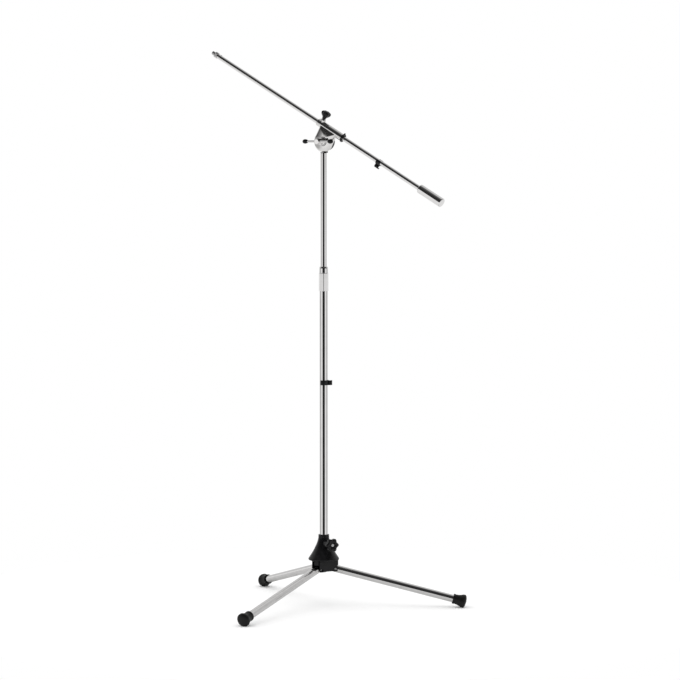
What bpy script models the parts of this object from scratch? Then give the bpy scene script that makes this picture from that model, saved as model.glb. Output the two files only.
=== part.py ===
"""Boom microphone stand: folding tripod base, two-piece pole with a twist clutch,
and a tilting boom that slides through its clamp.  Metres, +Z up.

The pole stands on the Z axis and the floor is z = 0.  The boom runs parallel to XZ with
its threaded tip towards -X, and the boom joint's axis is parallel to Y.
"""
from math import cos, pi, radians, sin, tan

import bmesh
import bpy
from mathutils import Matrix, Vector

# ---------------------------------------------------------------- general
GAP = 0.0003                    # clearance between touching pieces
TURN_STEPS = 24                 # sides of the round tubes
FINE_STEPS = 32                 # sides of the larger turned castings
SMALL_STEPS = 16                # sides of screws, pins and small knobs

# ---------------------------------------------------------------- pole
LOWER_TUBE_RADIUS = 0.0105
LOWER_TUBE_WALL = 0.0012
LOWER_TUBE_FOOT = 0.0915
LOWER_TUBE_TOP = 0.8000
UPPER_TUBE_RADIUS = 0.0080
UPPER_TUBE_WALL = 0.0010
UPPER_TUBE_FOOT = 0.3950
UPPER_TUBE_TOP = 1.1335
GLIDE_LENGTH = 0.030
POLE_PLUG_LENGTH = 0.024
HUB_SCREW_THREAD = 0.0034       # radius of the screw's hole in the hub and the plug
HUB_SCREW_HEAD = 0.0066
HUB_SCREW_HEAD_HEIGHT = 0.0038

# ---------------------------------------------------------------- twist clutch
GRIP_FOOT = 0.7910
GRIP_TOP = 0.8355
GRIP_RADIUS = 0.0122            # over the corners of the eight-sided sleeve
GRIP_SIDES = 8
GRIP_TURN = radians(-11.5)      # of the eight flats, about the pole
NOSE_TOP = 0.8520
NOSE_RADIUS = 0.0113
CLUTCH_CORE_TOP = 0.8375
CLUTCH_CORE_NECK = 0.0098
COLLET_LENGTH = 0.0080

# ---------------------------------------------------------------- legs and feet
LEG_AZIMUTHS = {"front": -90.0, "right": 30.0, "left": 150.0}
LEG_SLOPE = radians(14.1)       # below the horizontal
LEG_RADIUS = 0.0095
LEG_WALL = 0.0012
PIVOT_REACH = 0.0300            # hinge pin to the pole's axis
FOOT_REACH = 0.3490             # centre of the foot's rim to the pole's axis
FOOT_RIM_RADIUS = 0.0168
FOOT_COLLAR_RADIUS = 0.0122
FOOT_FLAT = 0.0008              # depth of rubber worn flat under the rim
PIN_RADIUS = 0.0030
PIN_HALF_LENGTH = 0.0128
KNUCKLE_LENGTH = 0.0185         # bare part of the hinge plug before the leg tube
LEG_PLUG_END = 0.0450
FOOT_DEPTH = 0.0262             # from the foot's mouth to the centre of its rim

# ---------------------------------------------------------------- base castings
HUB_FOOT = 0.0895
HUB_TOP = 0.1168
HUB_WALL_REACH = 0.0280         # flat walls between the legs
HUB_CORNER_REACH = 0.0370       # cheeks beside the legs
HUB_CORE_RADIUS = 0.0190
HUB_CORE_TOP = 0.1400
BELL_FOOT = 0.1172
BELL_LIP_HEIGHT = 0.1215
BELL_SHOULDER = 0.1750
BELL_TOP = 0.1815
BELL_TOP_RADIUS = 0.0135
BELL_LIP_RADIUS = 0.0385
BELL_WALL = 0.0030
BELL_CEILING = 0.1500
CLAMP_AZIMUTH = -30.0
CLAMP_HEIGHT = 0.1596
CLAMP_BOSS_REACH = 0.0315
STAR_BACK_REACH = 0.0396
STAR_DEPTH = 0.0120
STAR_RADIUS = 0.0174
STAR_LOBE_DEPTH = 0.0036
STAR_LOBES = 6
CLAMP_THREAD = 0.0040           # radius of the clamp screw

# ---------------------------------------------------------------- boom joint
HINGE_HEIGHT = 1.1622
CRADLE_FRONT = -0.0060
CRADLE_BACK = 0.0040
CRADLE_RADIUS = 0.0262
WASHER_THICKNESS = 0.0010
HORN_FRONT = 0.0056
HORN_BACK = 0.0180
HORN_RADIUS = 0.0225
HORN_STEM_FOOT = 1.1000
JOINT_HOLE_RADIUS = 0.0044
JOINT_BOLT_RADIUS = 0.0040
NUT_RADIUS = 0.0075
NUT_THICKNESS = 0.0055
THRUST_WASHER_THICKNESS = 0.0018
T_SCREW_RADIUS = 0.0072
T_SCREW_END = 0.0332            # front face of the screw's head, out from the hinge plane
T_BAR_Y = -0.0260
T_BAR_HALF_LENGTH = 0.0441
T_BAR_RADIUS = 0.0028
T_BAR_END_LENGTH = 0.0134

# ---------------------------------------------------------------- boom
BOOM_TILT = radians(28.7)       # tip above the horizontal
BOOM_RISE = 0.0328              # boom axis above the hinge axis
BOOM_OFFSET = 0.0057            # boom axis behind the pole's axis
BOOM_RADIUS = 0.0060
BOOM_WALL = 0.0010
BOOM_TIP = 0.4069               # end of the threaded stub
BOOM_TUBE_TIP = 0.3873
BOOM_TUBE_TAIL = -0.3217
STUB_RADIUS = 0.00476           # 3/8 inch microphone thread
RING_RADIUS = 0.0076
RING_LENGTH = 0.0095
WEIGHT_FRONT = -0.2967
WEIGHT_END = -0.3686
WEIGHT_RADIUS = 0.0112
SLEEVE_TIP_END = 0.0403
SLEEVE_TAIL_END = -0.0412
SLEEVE_RADIUS = 0.0092
SLEEVE_BORE = 0.0076
THUMB_PLACE = 0.0295            # thumb screw along the boom
THUMB_TOP = 0.0358              # top of its head above the boom's axis
THUMB_THREAD = 0.0030
TIP_PIN_RADIUS = 0.0012
TIP_PIN_SETBACK = 0.0280        # from the end of the threaded stub
GRUB_RADIUS = 0.0020
GRUB_SETBACK = 0.0120           # from the counterweight's front face

# ---------------------------------------------------------------- cable clips
CLIP_LENGTH = 0.0120
TUBE_CLIP_HEIGHT = 0.5565
TUBE_CLIP_AZIMUTH = 30.0
BOOM_CLIP_PLACE = -0.1704
CLIP_RING_WALL = 0.0020
CLIP_MOUTH = 52.0               # half of the ring's open angle, degrees
HOOK_BORE = 0.0036
HOOK_WALL = 0.0015
HOOK_ARC = (150.0, 400.0)        # degrees of the hook's wall, measured from straight outwards


# ================================================================ helpers
def clear_scene():
    """Remove everything that the opened file holds."""
    for old in list(bpy.data.objects):
        bpy.data.objects.remove(old, do_unlink=True)


def make_material(name, colour, roughness, metallic):
    """A plain surface finish."""
    material = bpy.data.materials.new(name)
    material.use_nodes = True
    shader = material.node_tree.nodes["Principled BSDF"]
    shader.inputs["Base Color"].default_value = (*colour, 1.0)
    shader.inputs["Roughness"].default_value = roughness
    shader.inputs["Metallic"].default_value = metallic
    return material


def along(direction, origin=(0.0, 0.0, 0.0)):
    """Placement whose own +Z points along a direction."""
    turn = Vector(direction).normalized().to_track_quat("Z", "Y")
    return Matrix.Translation(Vector(origin)) @ turn.to_matrix().to_4x4()


def shifted(x=0.0, y=0.0, z=0.0):
    """Placement moved without turning."""
    return Matrix.Translation(Vector((x, y, z)))


def compass(azimuth, reach, height=0.0):
    """Point at an azimuth in degrees and a distance from the pole."""
    angle = radians(azimuth)
    return Vector((reach * cos(angle), reach * sin(angle), height))


def add_empty(name, placement):
    """Joint frame that pieces are parented to."""
    empty = bpy.data.objects.new(name, None)
    empty.empty_display_size = 0.02
    empty.matrix_world = placement
    bpy.context.scene.collection.objects.link(empty)
    return empty


def add_piece(name, mesh_data, material, parent=None, placement=None, smooth=True):
    """Turn a bmesh into a named object in its parent's frame."""
    bmesh.ops.recalc_face_normals(mesh_data, faces=mesh_data.faces)
    mesh = bpy.data.meshes.new(name)
    mesh_data.to_mesh(mesh)
    mesh_data.free()
    if smooth:
        mesh.shade_smooth()
        mesh.set_sharp_from_angle(angle=radians(35))
    if material is not None:
        mesh.materials.append(material)
    piece = bpy.data.objects.new(name, mesh)
    bpy.context.scene.collection.objects.link(piece)
    piece.parent = parent
    if placement is not None:
        piece.matrix_local = placement
    return piece


def combine(piece, operation, *tools):
    """Add, subtract or keep the part shared with other solids."""
    for tool in tools:
        tool.hide_render = True
        tool.display_type = "WIRE"
        step = piece.modifiers.new(tool.name, "BOOLEAN")
        step.operation = operation
        step.solver = "EXACT"
        step.object = tool
    return piece


def turned(profile, steps, hollow=False):
    """Revolve (radius, height) points about Z; a hollow profile closes on itself."""
    shape = bmesh.new()
    rings = []
    for radius, height in profile:
        if radius == 0.0:
            rings.append([shape.verts.new((0.0, 0.0, height))])
            continue
        ring = []
        for index in range(steps):
            angle = 2.0 * pi * index / steps
            ring.append(shape.verts.new((radius * cos(angle), radius * sin(angle), height)))
        rings.append(ring)
    pairs = list(zip(rings, rings[1:]))
    if hollow:
        pairs.append((rings[-1], rings[0]))
    for first, second in pairs:
        bridge(shape, first, second)
    if not hollow:
        for ring in (rings[0], rings[-1]):
            if len(ring) > 1:
                shape.faces.new(ring)
    return shape


def bridge(shape, first, second):
    """Faces between two rings, either of which may be a single point."""
    steps = max(len(first), len(second))
    for index in range(steps):
        after = (index + 1) % steps
        if len(first) == 1:
            shape.faces.new((first[0], second[index], second[after]))
        elif len(second) == 1:
            shape.faces.new((first[index], second[0], first[after]))
        else:
            shape.faces.new((first[index], second[index], second[after], first[after]))


def prism(outline, low, high):
    """Extrude an outline of (x, y) points between two heights."""
    shape = bmesh.new()
    bottom = [shape.verts.new((x, y, low)) for x, y in outline]
    top = [shape.verts.new((x, y, high)) for x, y in outline]
    bridge(shape, bottom, top)
    shape.faces.new(bottom)
    shape.faces.new(top)
    return shape


def block(low, high):
    """Box between two corners."""
    outline = [(low[0], low[1]), (high[0], low[1]), (high[0], high[1]), (low[0], high[1])]
    return prism(outline, low[2], high[2])


def rod(radius, low, high, steps=SMALL_STEPS):
    """Plain round bar along Z."""
    return turned([(radius, low), (radius, high)], steps)


def pipe(radius, wall, low, high, steps=TURN_STEPS):
    """Open round tube along Z."""
    inner = radius - wall
    return turned([(radius, low), (radius, high), (inner, high), (inner, low)], steps, hollow=True)


def arc(centre, radius, start, end, steps):
    """Points on an arc, angles in degrees."""
    points = []
    for index in range(steps + 1):
        angle = radians(start + (end - start) * index / steps)
        points.append((centre[0] + radius * cos(angle), centre[1] + radius * sin(angle)))
    return points


def lobed(sections, lobes, depth, steps):
    """Knob with lobes: (radius, height, share of the lobe depth) sections along Z."""
    shape = bmesh.new()
    rings = []
    for radius, height, share in sections:
        ring = []
        for index in range(steps):
            angle = 2.0 * pi * index / steps
            reach = radius - depth * share * (1.0 - cos(lobes * angle)) / 2.0
            ring.append(shape.verts.new((reach * cos(angle), reach * sin(angle), height)))
        rings.append(ring)
    for first, second in zip(rings, rings[1:]):
        bridge(shape, first, second)
    shape.faces.new(rings[0])
    shape.faces.new(rings[-1])
    return shape


# ================================================================ finishes
def make_finishes():
    """The surface finishes used on the stand."""
    return {
        "chrome": make_material("chrome_plate", (0.78, 0.77, 0.76), 0.12, 1.0),
        "steel": make_material("bright_steel", (0.60, 0.60, 0.60), 0.30, 1.0),
        "zinc": make_material("plated_zinc", (0.70, 0.69, 0.68), 0.22, 1.0),
        "black": make_material("black_casting", (0.020, 0.021, 0.023), 0.45, 0.0),
        "plastic": make_material("black_plastic", (0.015, 0.015, 0.016), 0.40, 0.0),
        "rubber": make_material("black_rubber", (0.012, 0.012, 0.013), 0.70, 0.0),
        "brass": make_material("brass", (0.70, 0.52, 0.22), 0.30, 1.0),
        "fibre": make_material("friction_fibre", (0.10, 0.085, 0.07), 0.85, 0.0),
    }


# ================================================================ base
def hub_outline():
    """Triangle with flat walls between the legs and cut corners at the legs."""
    half = (HUB_WALL_REACH - HUB_CORNER_REACH * 0.5) / sin(radians(60))
    outline = []
    for azimuth in sorted(LEG_AZIMUTHS.values()):
        angle = radians(azimuth)
        for side in (-half, half):
            outline.append((HUB_CORNER_REACH * cos(angle) - side * sin(angle),
                            HUB_CORNER_REACH * sin(angle) + side * cos(angle)))
    return outline


def pivot_height():
    """Height of the leg hinge pins, from the feet and the legs' slope."""
    rim_height = FOOT_RIM_RADIUS * cos(LEG_SLOPE) - FOOT_FLAT
    return rim_height + tan(LEG_SLOPE) * (FOOT_REACH - PIVOT_REACH)


def build_hub(finishes):
    """Casting at the foot of the pole that carries the three leg hinges."""
    hub = add_piece("base_hub", prism(hub_outline(), HUB_FOOT, HUB_TOP), finishes["black"],
                    smooth=False)
    core = add_piece("cut_hub_core", rod(HUB_CORE_RADIUS, HUB_FOOT + 0.001, HUB_CORE_TOP,
                                         TURN_STEPS), None)
    combine(hub, "UNION", core)
    rounding = add_piece("cut_hub_round", rod(HUB_CORNER_REACH + 0.0004, HUB_FOOT - 0.010,
                                              HUB_CORE_TOP + 0.010, FINE_STEPS), None)
    combine(hub, "INTERSECT", rounding)
    slot_half = LEG_RADIUS + 2.0 * GAP
    for name, azimuth in LEG_AZIMUTHS.items():
        slot = add_piece("cut_hub_slot_" + name,
                         block((HUB_CORE_RADIUS + 0.0005, -slot_half, HUB_FOOT - 0.005),
                               (0.060, slot_half, HUB_TOP + 0.005)), None)
        slot.matrix_local = Matrix.Rotation(radians(azimuth), 4, "Z")
        hole = add_piece("cut_hub_pin_" + name,
                         rod(PIN_RADIUS + GAP, -0.020, 0.020, 16), None,
                         placement=pin_placement(azimuth))
        combine(hub, "DIFFERENCE", slot, hole)
    seat = add_piece("cut_hub_seat", rod(LOWER_TUBE_RADIUS + GAP, LOWER_TUBE_FOOT - GAP, 0.16,
                                         TURN_STEPS), None)
    screw_hole = add_piece("cut_hub_screw", rod(HUB_SCREW_THREAD, HUB_FOOT - 0.005,
                                                LOWER_TUBE_FOOT + 0.005), None)
    combine(hub, "DIFFERENCE", seat, screw_hole)


def pin_placement(azimuth):
    """Axis of a leg hinge: tangential, at the pivot point."""
    sideways = compass(azimuth + 90.0, 1.0)
    return along(sideways, compass(azimuth, PIVOT_REACH, pivot_height()))


def build_pole_foot(finishes):
    """Plug in the foot of the lower tube and the screw that holds the hub on it."""
    plug_radius = LOWER_TUBE_RADIUS - LOWER_TUBE_WALL - GAP
    plug_top = LOWER_TUBE_FOOT + POLE_PLUG_LENGTH
    add_piece("pole_foot_plug",
              turned([(plug_radius, LOWER_TUBE_FOOT), (plug_radius, plug_top),
                      (HUB_SCREW_THREAD, plug_top), (HUB_SCREW_THREAD, LOWER_TUBE_FOOT)],
                     TURN_STEPS, hollow=True), finishes["steel"])
    shank = HUB_SCREW_THREAD - GAP
    under = HUB_FOOT - GAP
    add_piece("hub_screw",
              turned([(HUB_SCREW_HEAD - 0.0006, HUB_FOOT - HUB_SCREW_HEAD_HEIGHT),
                      (HUB_SCREW_HEAD, HUB_FOOT - HUB_SCREW_HEAD_HEIGHT + 0.0008),
                      (HUB_SCREW_HEAD, under), (shank, under), (shank, plug_top - 0.006)],
                     SMALL_STEPS), finishes["steel"])


def bell_radius(height):
    """Trumpet curve of the bell's outer wall."""
    share = (BELL_SHOULDER - height) / (BELL_SHOULDER - BELL_LIP_HEIGHT)
    return BELL_TOP_RADIUS + (BELL_LIP_RADIUS - BELL_TOP_RADIUS) * share ** 1.5


def bell_profile():
    """Closed section of the bell: outer wall down, then the inside up."""
    steps = 8
    heights = [BELL_SHOULDER + (BELL_LIP_HEIGHT - BELL_SHOULDER) * i / steps
               for i in range(steps + 1)]
    outer = [(BELL_TOP_RADIUS - 0.0010, BELL_TOP), (BELL_TOP_RADIUS, BELL_TOP - 0.0010)]
    outer += [(bell_radius(z), z) for z in heights]
    outer += [(BELL_LIP_RADIUS - 0.0002, BELL_FOOT + 0.0018), (BELL_LIP_RADIUS - 0.0014, BELL_FOOT)]
    inner = [(BELL_LIP_RADIUS - BELL_WALL - 0.0010, BELL_FOOT)]
    for share in (0.15, 0.35, 0.6, 0.85):
        height = BELL_LIP_HEIGHT + (BELL_CEILING - BELL_LIP_HEIGHT) * share
        inner.append((bell_radius(height) - BELL_WALL, height))
    bore = LOWER_TUBE_RADIUS + GAP
    inner += [(bell_radius(BELL_CEILING) - BELL_WALL, BELL_CEILING), (bore, BELL_CEILING + 0.003),
              (bore, BELL_TOP)]
    return outer + inner


def build_bell(finishes, frame):
    """Bell housing that slides on the pole and holds the legs down."""
    bell = add_piece("base_bell", turned(bell_profile(), FINE_STEPS, hollow=True),
                     finishes["black"], frame)
    leg_top = pivot_height() + LEG_RADIUS + 2.0 * GAP
    lug_low = (HUB_CORE_RADIUS + 0.0025, -0.0070, leg_top)
    lug_high = (BELL_LIP_RADIUS - BELL_WALL - 0.0023, 0.0070, BELL_LIP_HEIGHT + 0.006)
    for name, azimuth in LEG_AZIMUTHS.items():
        lug = add_piece("cut_bell_lug_" + name, block(lug_low, lug_high), None, frame,
                        Matrix.Rotation(radians(azimuth), 4, "Z"))
        combine(bell, "UNION", lug)
    clamp_axis = compass(CLAMP_AZIMUTH, 1.0)
    at_clamp = along(clamp_axis, (0.0, 0.0, CLAMP_HEIGHT))
    boss = add_piece("cut_bell_boss",
                     turned([(0.0090, 0.0125), (0.0085, CLAMP_BOSS_REACH - 0.001),
                             (0.0075, CLAMP_BOSS_REACH)], SMALL_STEPS), None, frame, at_clamp)
    combine(bell, "UNION", boss)
    thread = add_piece("cut_bell_thread", rod(CLAMP_THREAD + GAP, 0.0, 0.050), None, frame,
                       at_clamp)
    slit = add_piece("cut_bell_slit", block((0.0, -0.0010, BELL_SHOULDER - 0.004),
                                            (0.020, 0.0010, BELL_TOP + 0.002)), None, frame,
                     Matrix.Rotation(radians(CLAMP_AZIMUTH - 27.0), 4, "Z"))
    combine(bell, "DIFFERENCE", thread, slit)
    shoe_face = LOWER_TUBE_RADIUS + 0.0004
    add_piece("clamp_shoe", rod(CLAMP_THREAD - 0.0002, shoe_face, shoe_face + 0.0028),
              finishes["brass"], frame, at_clamp)
    return at_clamp


def build_clamp_knob(finishes, frame):
    """Star knob and its screw, along the frame's +Z."""
    back = STAR_BACK_REACH
    front = STAR_BACK_REACH + STAR_DEPTH
    star = add_piece("clamp_knob",
                     lobed([(0.0070, CLAMP_BOSS_REACH + 0.0010, 0.0), (0.0072, back - 0.0010, 0.0),
                            (STAR_RADIUS - 0.0016, back, 0.9), (STAR_RADIUS, back + 0.0022, 1.0),
                            (STAR_RADIUS, front - 0.0030, 1.0),
                            (STAR_RADIUS - 0.0020, front - 0.0010, 0.9),
                            (STAR_RADIUS - 0.0060, front, 0.5)], STAR_LOBES,
                           STAR_LOBE_DEPTH, 36),
                     finishes["plastic"], frame)
    end = back + 0.0055
    socket = add_piece("cut_clamp_socket", rod(CLAMP_THREAD + GAP, 0.0, end + 0.0005), None, frame)
    combine(star, "DIFFERENCE", socket)
    add_piece("clamp_screw", rod(CLAMP_THREAD, LOWER_TUBE_RADIUS + 0.0036, end),
              finishes["steel"], frame)


# ================================================================ legs
def leg_frame(azimuth):
    """Hinge frame of a leg: origin on the pin, +Z out along the leg, +Y along the pin."""
    outward = compass(azimuth, cos(LEG_SLOPE), -sin(LEG_SLOPE))
    sideways = compass(azimuth + 90.0, 1.0)
    upward = sideways.cross(outward)
    turn = Matrix((upward, sideways, outward)).transposed().to_4x4()
    return Matrix.Translation(compass(azimuth, PIVOT_REACH, pivot_height())) @ turn


def build_leg(name, azimuth, finishes):
    """One leg: hinge plug, tube, rubber foot and the pin it swings on."""
    frame = add_empty("axis_leg_" + name, leg_frame(azimuth))
    knuckle = [(0.0, -LEG_RADIUS)]
    knuckle += [(LEG_RADIUS * cos(radians(a)), LEG_RADIUS * sin(radians(a)))
                for a in (-72, -54, -36, -18, 0)]
    spigot = LEG_RADIUS - LEG_WALL - GAP
    knuckle += [(LEG_RADIUS, KNUCKLE_LENGTH), (spigot, KNUCKLE_LENGTH),
                (spigot, LEG_PLUG_END - 0.001), (spigot - 0.001, LEG_PLUG_END)]
    plug = add_piece("leg_plug_" + name, turned(knuckle, TURN_STEPS - 4), finishes["zinc"], frame)
    eye = add_piece("cut_leg_eye_" + name, rod(PIN_RADIUS + GAP, -0.02, 0.02, 16), None, frame,
                    along((0.0, 1.0, 0.0)))
    combine(plug, "DIFFERENCE", eye)
    rim = (FOOT_REACH - PIVOT_REACH) / cos(LEG_SLOPE)
    add_piece("leg_tube_" + name, pipe(LEG_RADIUS, LEG_WALL, KNUCKLE_LENGTH + GAP, rim - 0.006),
              finishes["chrome"], frame)
    build_foot(name, finishes, frame, rim)
    add_piece("leg_pin_" + name, rod(PIN_RADIUS, -PIN_HALF_LENGTH, PIN_HALF_LENGTH, 16),
              finishes["steel"], placement=pin_placement(azimuth))


def build_foot(name, finishes, frame, rim):
    """Flared rubber foot pushed over the end of a leg, with a small flat under its rim."""
    bore = LEG_RADIUS + GAP
    collar = FOOT_COLLAR_RADIUS
    mouth = rim - FOOT_DEPTH
    outer = [(collar - 0.0006, mouth), (collar + 0.0004, mouth + 0.0010),
             (collar + 0.0004, mouth + 0.0040), (collar - 0.0004, mouth + 0.0057)]
    for step in range(5):
        share = step / 4.0
        outer.append((collar + (FOOT_RIM_RADIUS - collar) * share ** 1.8,
                      mouth + 0.0077 + 0.0165 * share))
    outer += [(FOOT_RIM_RADIUS, rim + 0.0022), (FOOT_RIM_RADIUS - 0.0022, rim + 0.0048),
              (FOOT_RIM_RADIUS - 0.0075, rim + 0.0072), (0.0, rim + 0.0083)]
    inner = [(0.0, rim - 0.0050), (bore, rim - 0.0050), (bore, mouth)]
    foot = add_piece("foot_" + name, turned(inner + outer, FINE_STEPS - 4), finishes["rubber"],
                     frame)
    floor = add_piece("cut_floor_" + name, block((-0.6, -0.6, -0.05), (0.6, 0.6, 0.0)), None)
    combine(foot, "DIFFERENCE", floor)


# ================================================================ pole
def build_pole(finishes, glide_frame, pan_frame, clutch_frame):
    """Lower and upper tubes, the guide bush between them and the twist clutch."""
    add_piece("lower_tube", pipe(LOWER_TUBE_RADIUS, LOWER_TUBE_WALL, LOWER_TUBE_FOOT,
                                 LOWER_TUBE_TOP), finishes["chrome"])
    add_piece("upper_tube", pipe(UPPER_TUBE_RADIUS, UPPER_TUBE_WALL, UPPER_TUBE_FOOT,
                                 UPPER_TUBE_TOP), finishes["chrome"], pan_frame)
    inside = LOWER_TUBE_RADIUS - LOWER_TUBE_WALL - GAP
    spigot = UPPER_TUBE_RADIUS - UPPER_TUBE_WALL - GAP
    seam = UPPER_TUBE_FOOT - GAP
    add_piece("tube_glide",
              turned([(inside - 0.0008, seam - GLIDE_LENGTH), (inside, seam - GLIDE_LENGTH + 0.002),
                      (inside, seam), (spigot, seam), (spigot, seam + 0.012)], TURN_STEPS - 4),
              finishes["plastic"], glide_frame)
    core_foot = LOWER_TUBE_TOP + GAP
    core_radius = LOWER_TUBE_RADIUS - 0.0001
    core_bore = UPPER_TUBE_RADIUS + 0.0004
    add_piece("clutch_core",
              turned([(core_radius, core_foot), (core_radius, GRIP_TOP - 0.004),
                      (CLUTCH_CORE_NECK, GRIP_TOP - 0.003), (CLUTCH_CORE_NECK, CLUTCH_CORE_TOP),
                      (core_bore, CLUTCH_CORE_TOP), (core_bore, core_foot)],
                     TURN_STEPS, hollow=True), finishes["steel"])
    collet_foot = CLUTCH_CORE_TOP + GAP
    collet_top = CLUTCH_CORE_TOP + COLLET_LENGTH
    add_piece("clutch_collet",
              turned([(CLUTCH_CORE_NECK - 0.0001, collet_foot),
                      (CLUTCH_CORE_NECK - 0.0001, collet_foot + 0.0037),
                      (CLUTCH_CORE_NECK - 0.0008, collet_top), (core_bore, collet_top),
                      (core_bore, collet_foot)], TURN_STEPS - 4, hollow=True),
              finishes["plastic"])
    build_clutch_sleeve(finishes, clutch_frame)


def build_clutch_sleeve(finishes, frame):
    """Eight-sided grip and the domed nose above it, which turn together."""
    bevel = 0.0010
    bore = LOWER_TUBE_RADIUS + GAP
    grip = add_piece("clutch_grip",
                     turned([(GRIP_RADIUS - bevel, GRIP_FOOT), (GRIP_RADIUS, GRIP_FOOT + bevel),
                             (GRIP_RADIUS, GRIP_TOP - bevel), (GRIP_RADIUS - bevel, GRIP_TOP)],
                            GRIP_SIDES), finishes["chrome"], frame,
                     Matrix.Rotation(GRIP_TURN, 4, "Z"), smooth=False)
    hollow = add_piece("cut_grip_bore", rod(bore, GRIP_FOOT - 0.01, GRIP_TOP + 0.01, TURN_STEPS),
                       None, frame)
    combine(grip, "DIFFERENCE", hollow)
    foot = GRIP_TOP + GAP
    lip = 0.0104
    mouth = UPPER_TUBE_RADIUS + 0.0003
    dome = [(NOSE_RADIUS, foot), (NOSE_RADIUS - 0.0002, foot + 0.0105),
            (NOSE_RADIUS - 0.0006, foot + 0.0130), (NOSE_RADIUS - 0.0015, foot + 0.0150),
            (mouth + 0.0004, NOSE_TOP)]
    inside = [(mouth, NOSE_TOP - 0.0004), (mouth, foot + 0.0128), (lip, foot + 0.0078), (lip, foot)]
    add_piece("clutch_nose", turned(dome + inside, TURN_STEPS, hollow=True), finishes["chrome"],
              frame)


# ================================================================ clips
def build_clip(name, tube_radius, finishes, frame, placement, side=1.0):
    """Spring clip: an open ring on the tube and a small hook, open to one side, for the cable."""
    ring_in = tube_radius + GAP
    ring_out = ring_in + CLIP_RING_WALL
    outline = arc((0.0, 0.0), ring_out, -180.0 + CLIP_MOUTH, 180.0 - CLIP_MOUTH, 16)
    outline += arc((0.0, 0.0), ring_in, 180.0 - CLIP_MOUTH, -180.0 + CLIP_MOUTH, 16)
    clip = add_piece(name, prism(outline, 0.0, CLIP_LENGTH), finishes["plastic"], frame, placement)
    hook_out = HOOK_BORE + HOOK_WALL
    centre = (ring_in + GAP + hook_out, 0.0)
    start, end = HOOK_ARC
    hook_outline = arc(centre, hook_out, start, end, 12)
    hook_outline += arc(centre, HOOK_BORE, end, start, 12)
    hook_outline = [(x, side * y) for x, y in hook_outline]
    hook = add_piece("cut_hook_" + name, prism(hook_outline, 0.0, CLIP_LENGTH), None, frame,
                     placement)
    return combine(clip, "UNION", hook)


# ================================================================ boom joint
def build_horn(finishes, frame):
    """Lower half of the boom joint: a disc behind the cradle on a spigot in the pole."""
    across = along((0.0, -1.0, 0.0), (0.0, 0.0, HINGE_HEIGHT))
    horn = add_piece("joint_horn",
                     turned([(HORN_RADIUS - 0.0006, -HORN_BACK), (HORN_RADIUS, -HORN_BACK + 0.0006),
                             (HORN_RADIUS, -HORN_FRONT - 0.0006), (HORN_RADIUS - 0.0006, -HORN_FRONT)],
                            TURN_STEPS), finishes["black"], frame, across)
    spigot = UPPER_TUBE_RADIUS - UPPER_TUBE_WALL - GAP
    shoulder = UPPER_TUBE_TOP + GAP
    neck = add_piece("cut_horn_neck",
                     block((-0.0052, HORN_FRONT + 0.0002, shoulder + 0.0002),
                           (0.0052, HORN_BACK - 0.0060, HINGE_HEIGHT - 0.010)), None, frame)
    stem = add_piece("cut_horn_stem",
                     turned([(spigot - 0.001, HORN_STEM_FOOT), (spigot, HORN_STEM_FOOT + 0.001),
                             (spigot, shoulder), (UPPER_TUBE_RADIUS, shoulder),
                             (UPPER_TUBE_RADIUS, shoulder + 0.0014)],
                            TURN_STEPS - 4), None, frame)
    combine(horn, "UNION", neck, stem)
    hole = add_piece("cut_horn_hole", rod(JOINT_HOLE_RADIUS, -0.03, 0.03), None, frame, across)
    combine(horn, "DIFFERENCE", hole)
    nut = add_piece("joint_nut",
                    prism(arc((0.0, 0.0), NUT_RADIUS, 0.0, 300.0, 5), 0.0, NUT_THICKNESS),
                    finishes["steel"], frame,
                    along((0.0, 1.0, 0.0), (0.0, HORN_BACK + GAP, HINGE_HEIGHT)), smooth=False)
    thread = add_piece("cut_nut_thread", rod(JOINT_HOLE_RADIUS, -0.01, 0.02), None, frame,
                       along((0.0, 1.0, 0.0), (0.0, HORN_BACK, HINGE_HEIGHT)))
    combine(nut, "DIFFERENCE", thread)
    washer_radius = HORN_RADIUS - 0.0020
    add_piece("friction_washer",
              turned([(washer_radius, 0.0), (washer_radius, WASHER_THICKNESS),
                      (JOINT_HOLE_RADIUS, WASHER_THICKNESS), (JOINT_HOLE_RADIUS, 0.0)],
                     TURN_STEPS, hollow=True), finishes["fibre"], frame,
              along((0.0, 1.0, 0.0), (0.0, CRADLE_BACK + GAP, HINGE_HEIGHT)))


def cradle_outline():
    """Shield shape in the boom's frame: x towards the tip, y up from the hinge axis."""
    half = CRADLE_RADIUS - 0.0006
    outline = [(-half, BOOM_RISE), (half, BOOM_RISE)]
    outline += [(-x, -y) for x, y in arc((0.0, 0.0), CRADLE_RADIUS, 180.0, 0.0, 16)]
    return outline


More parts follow.
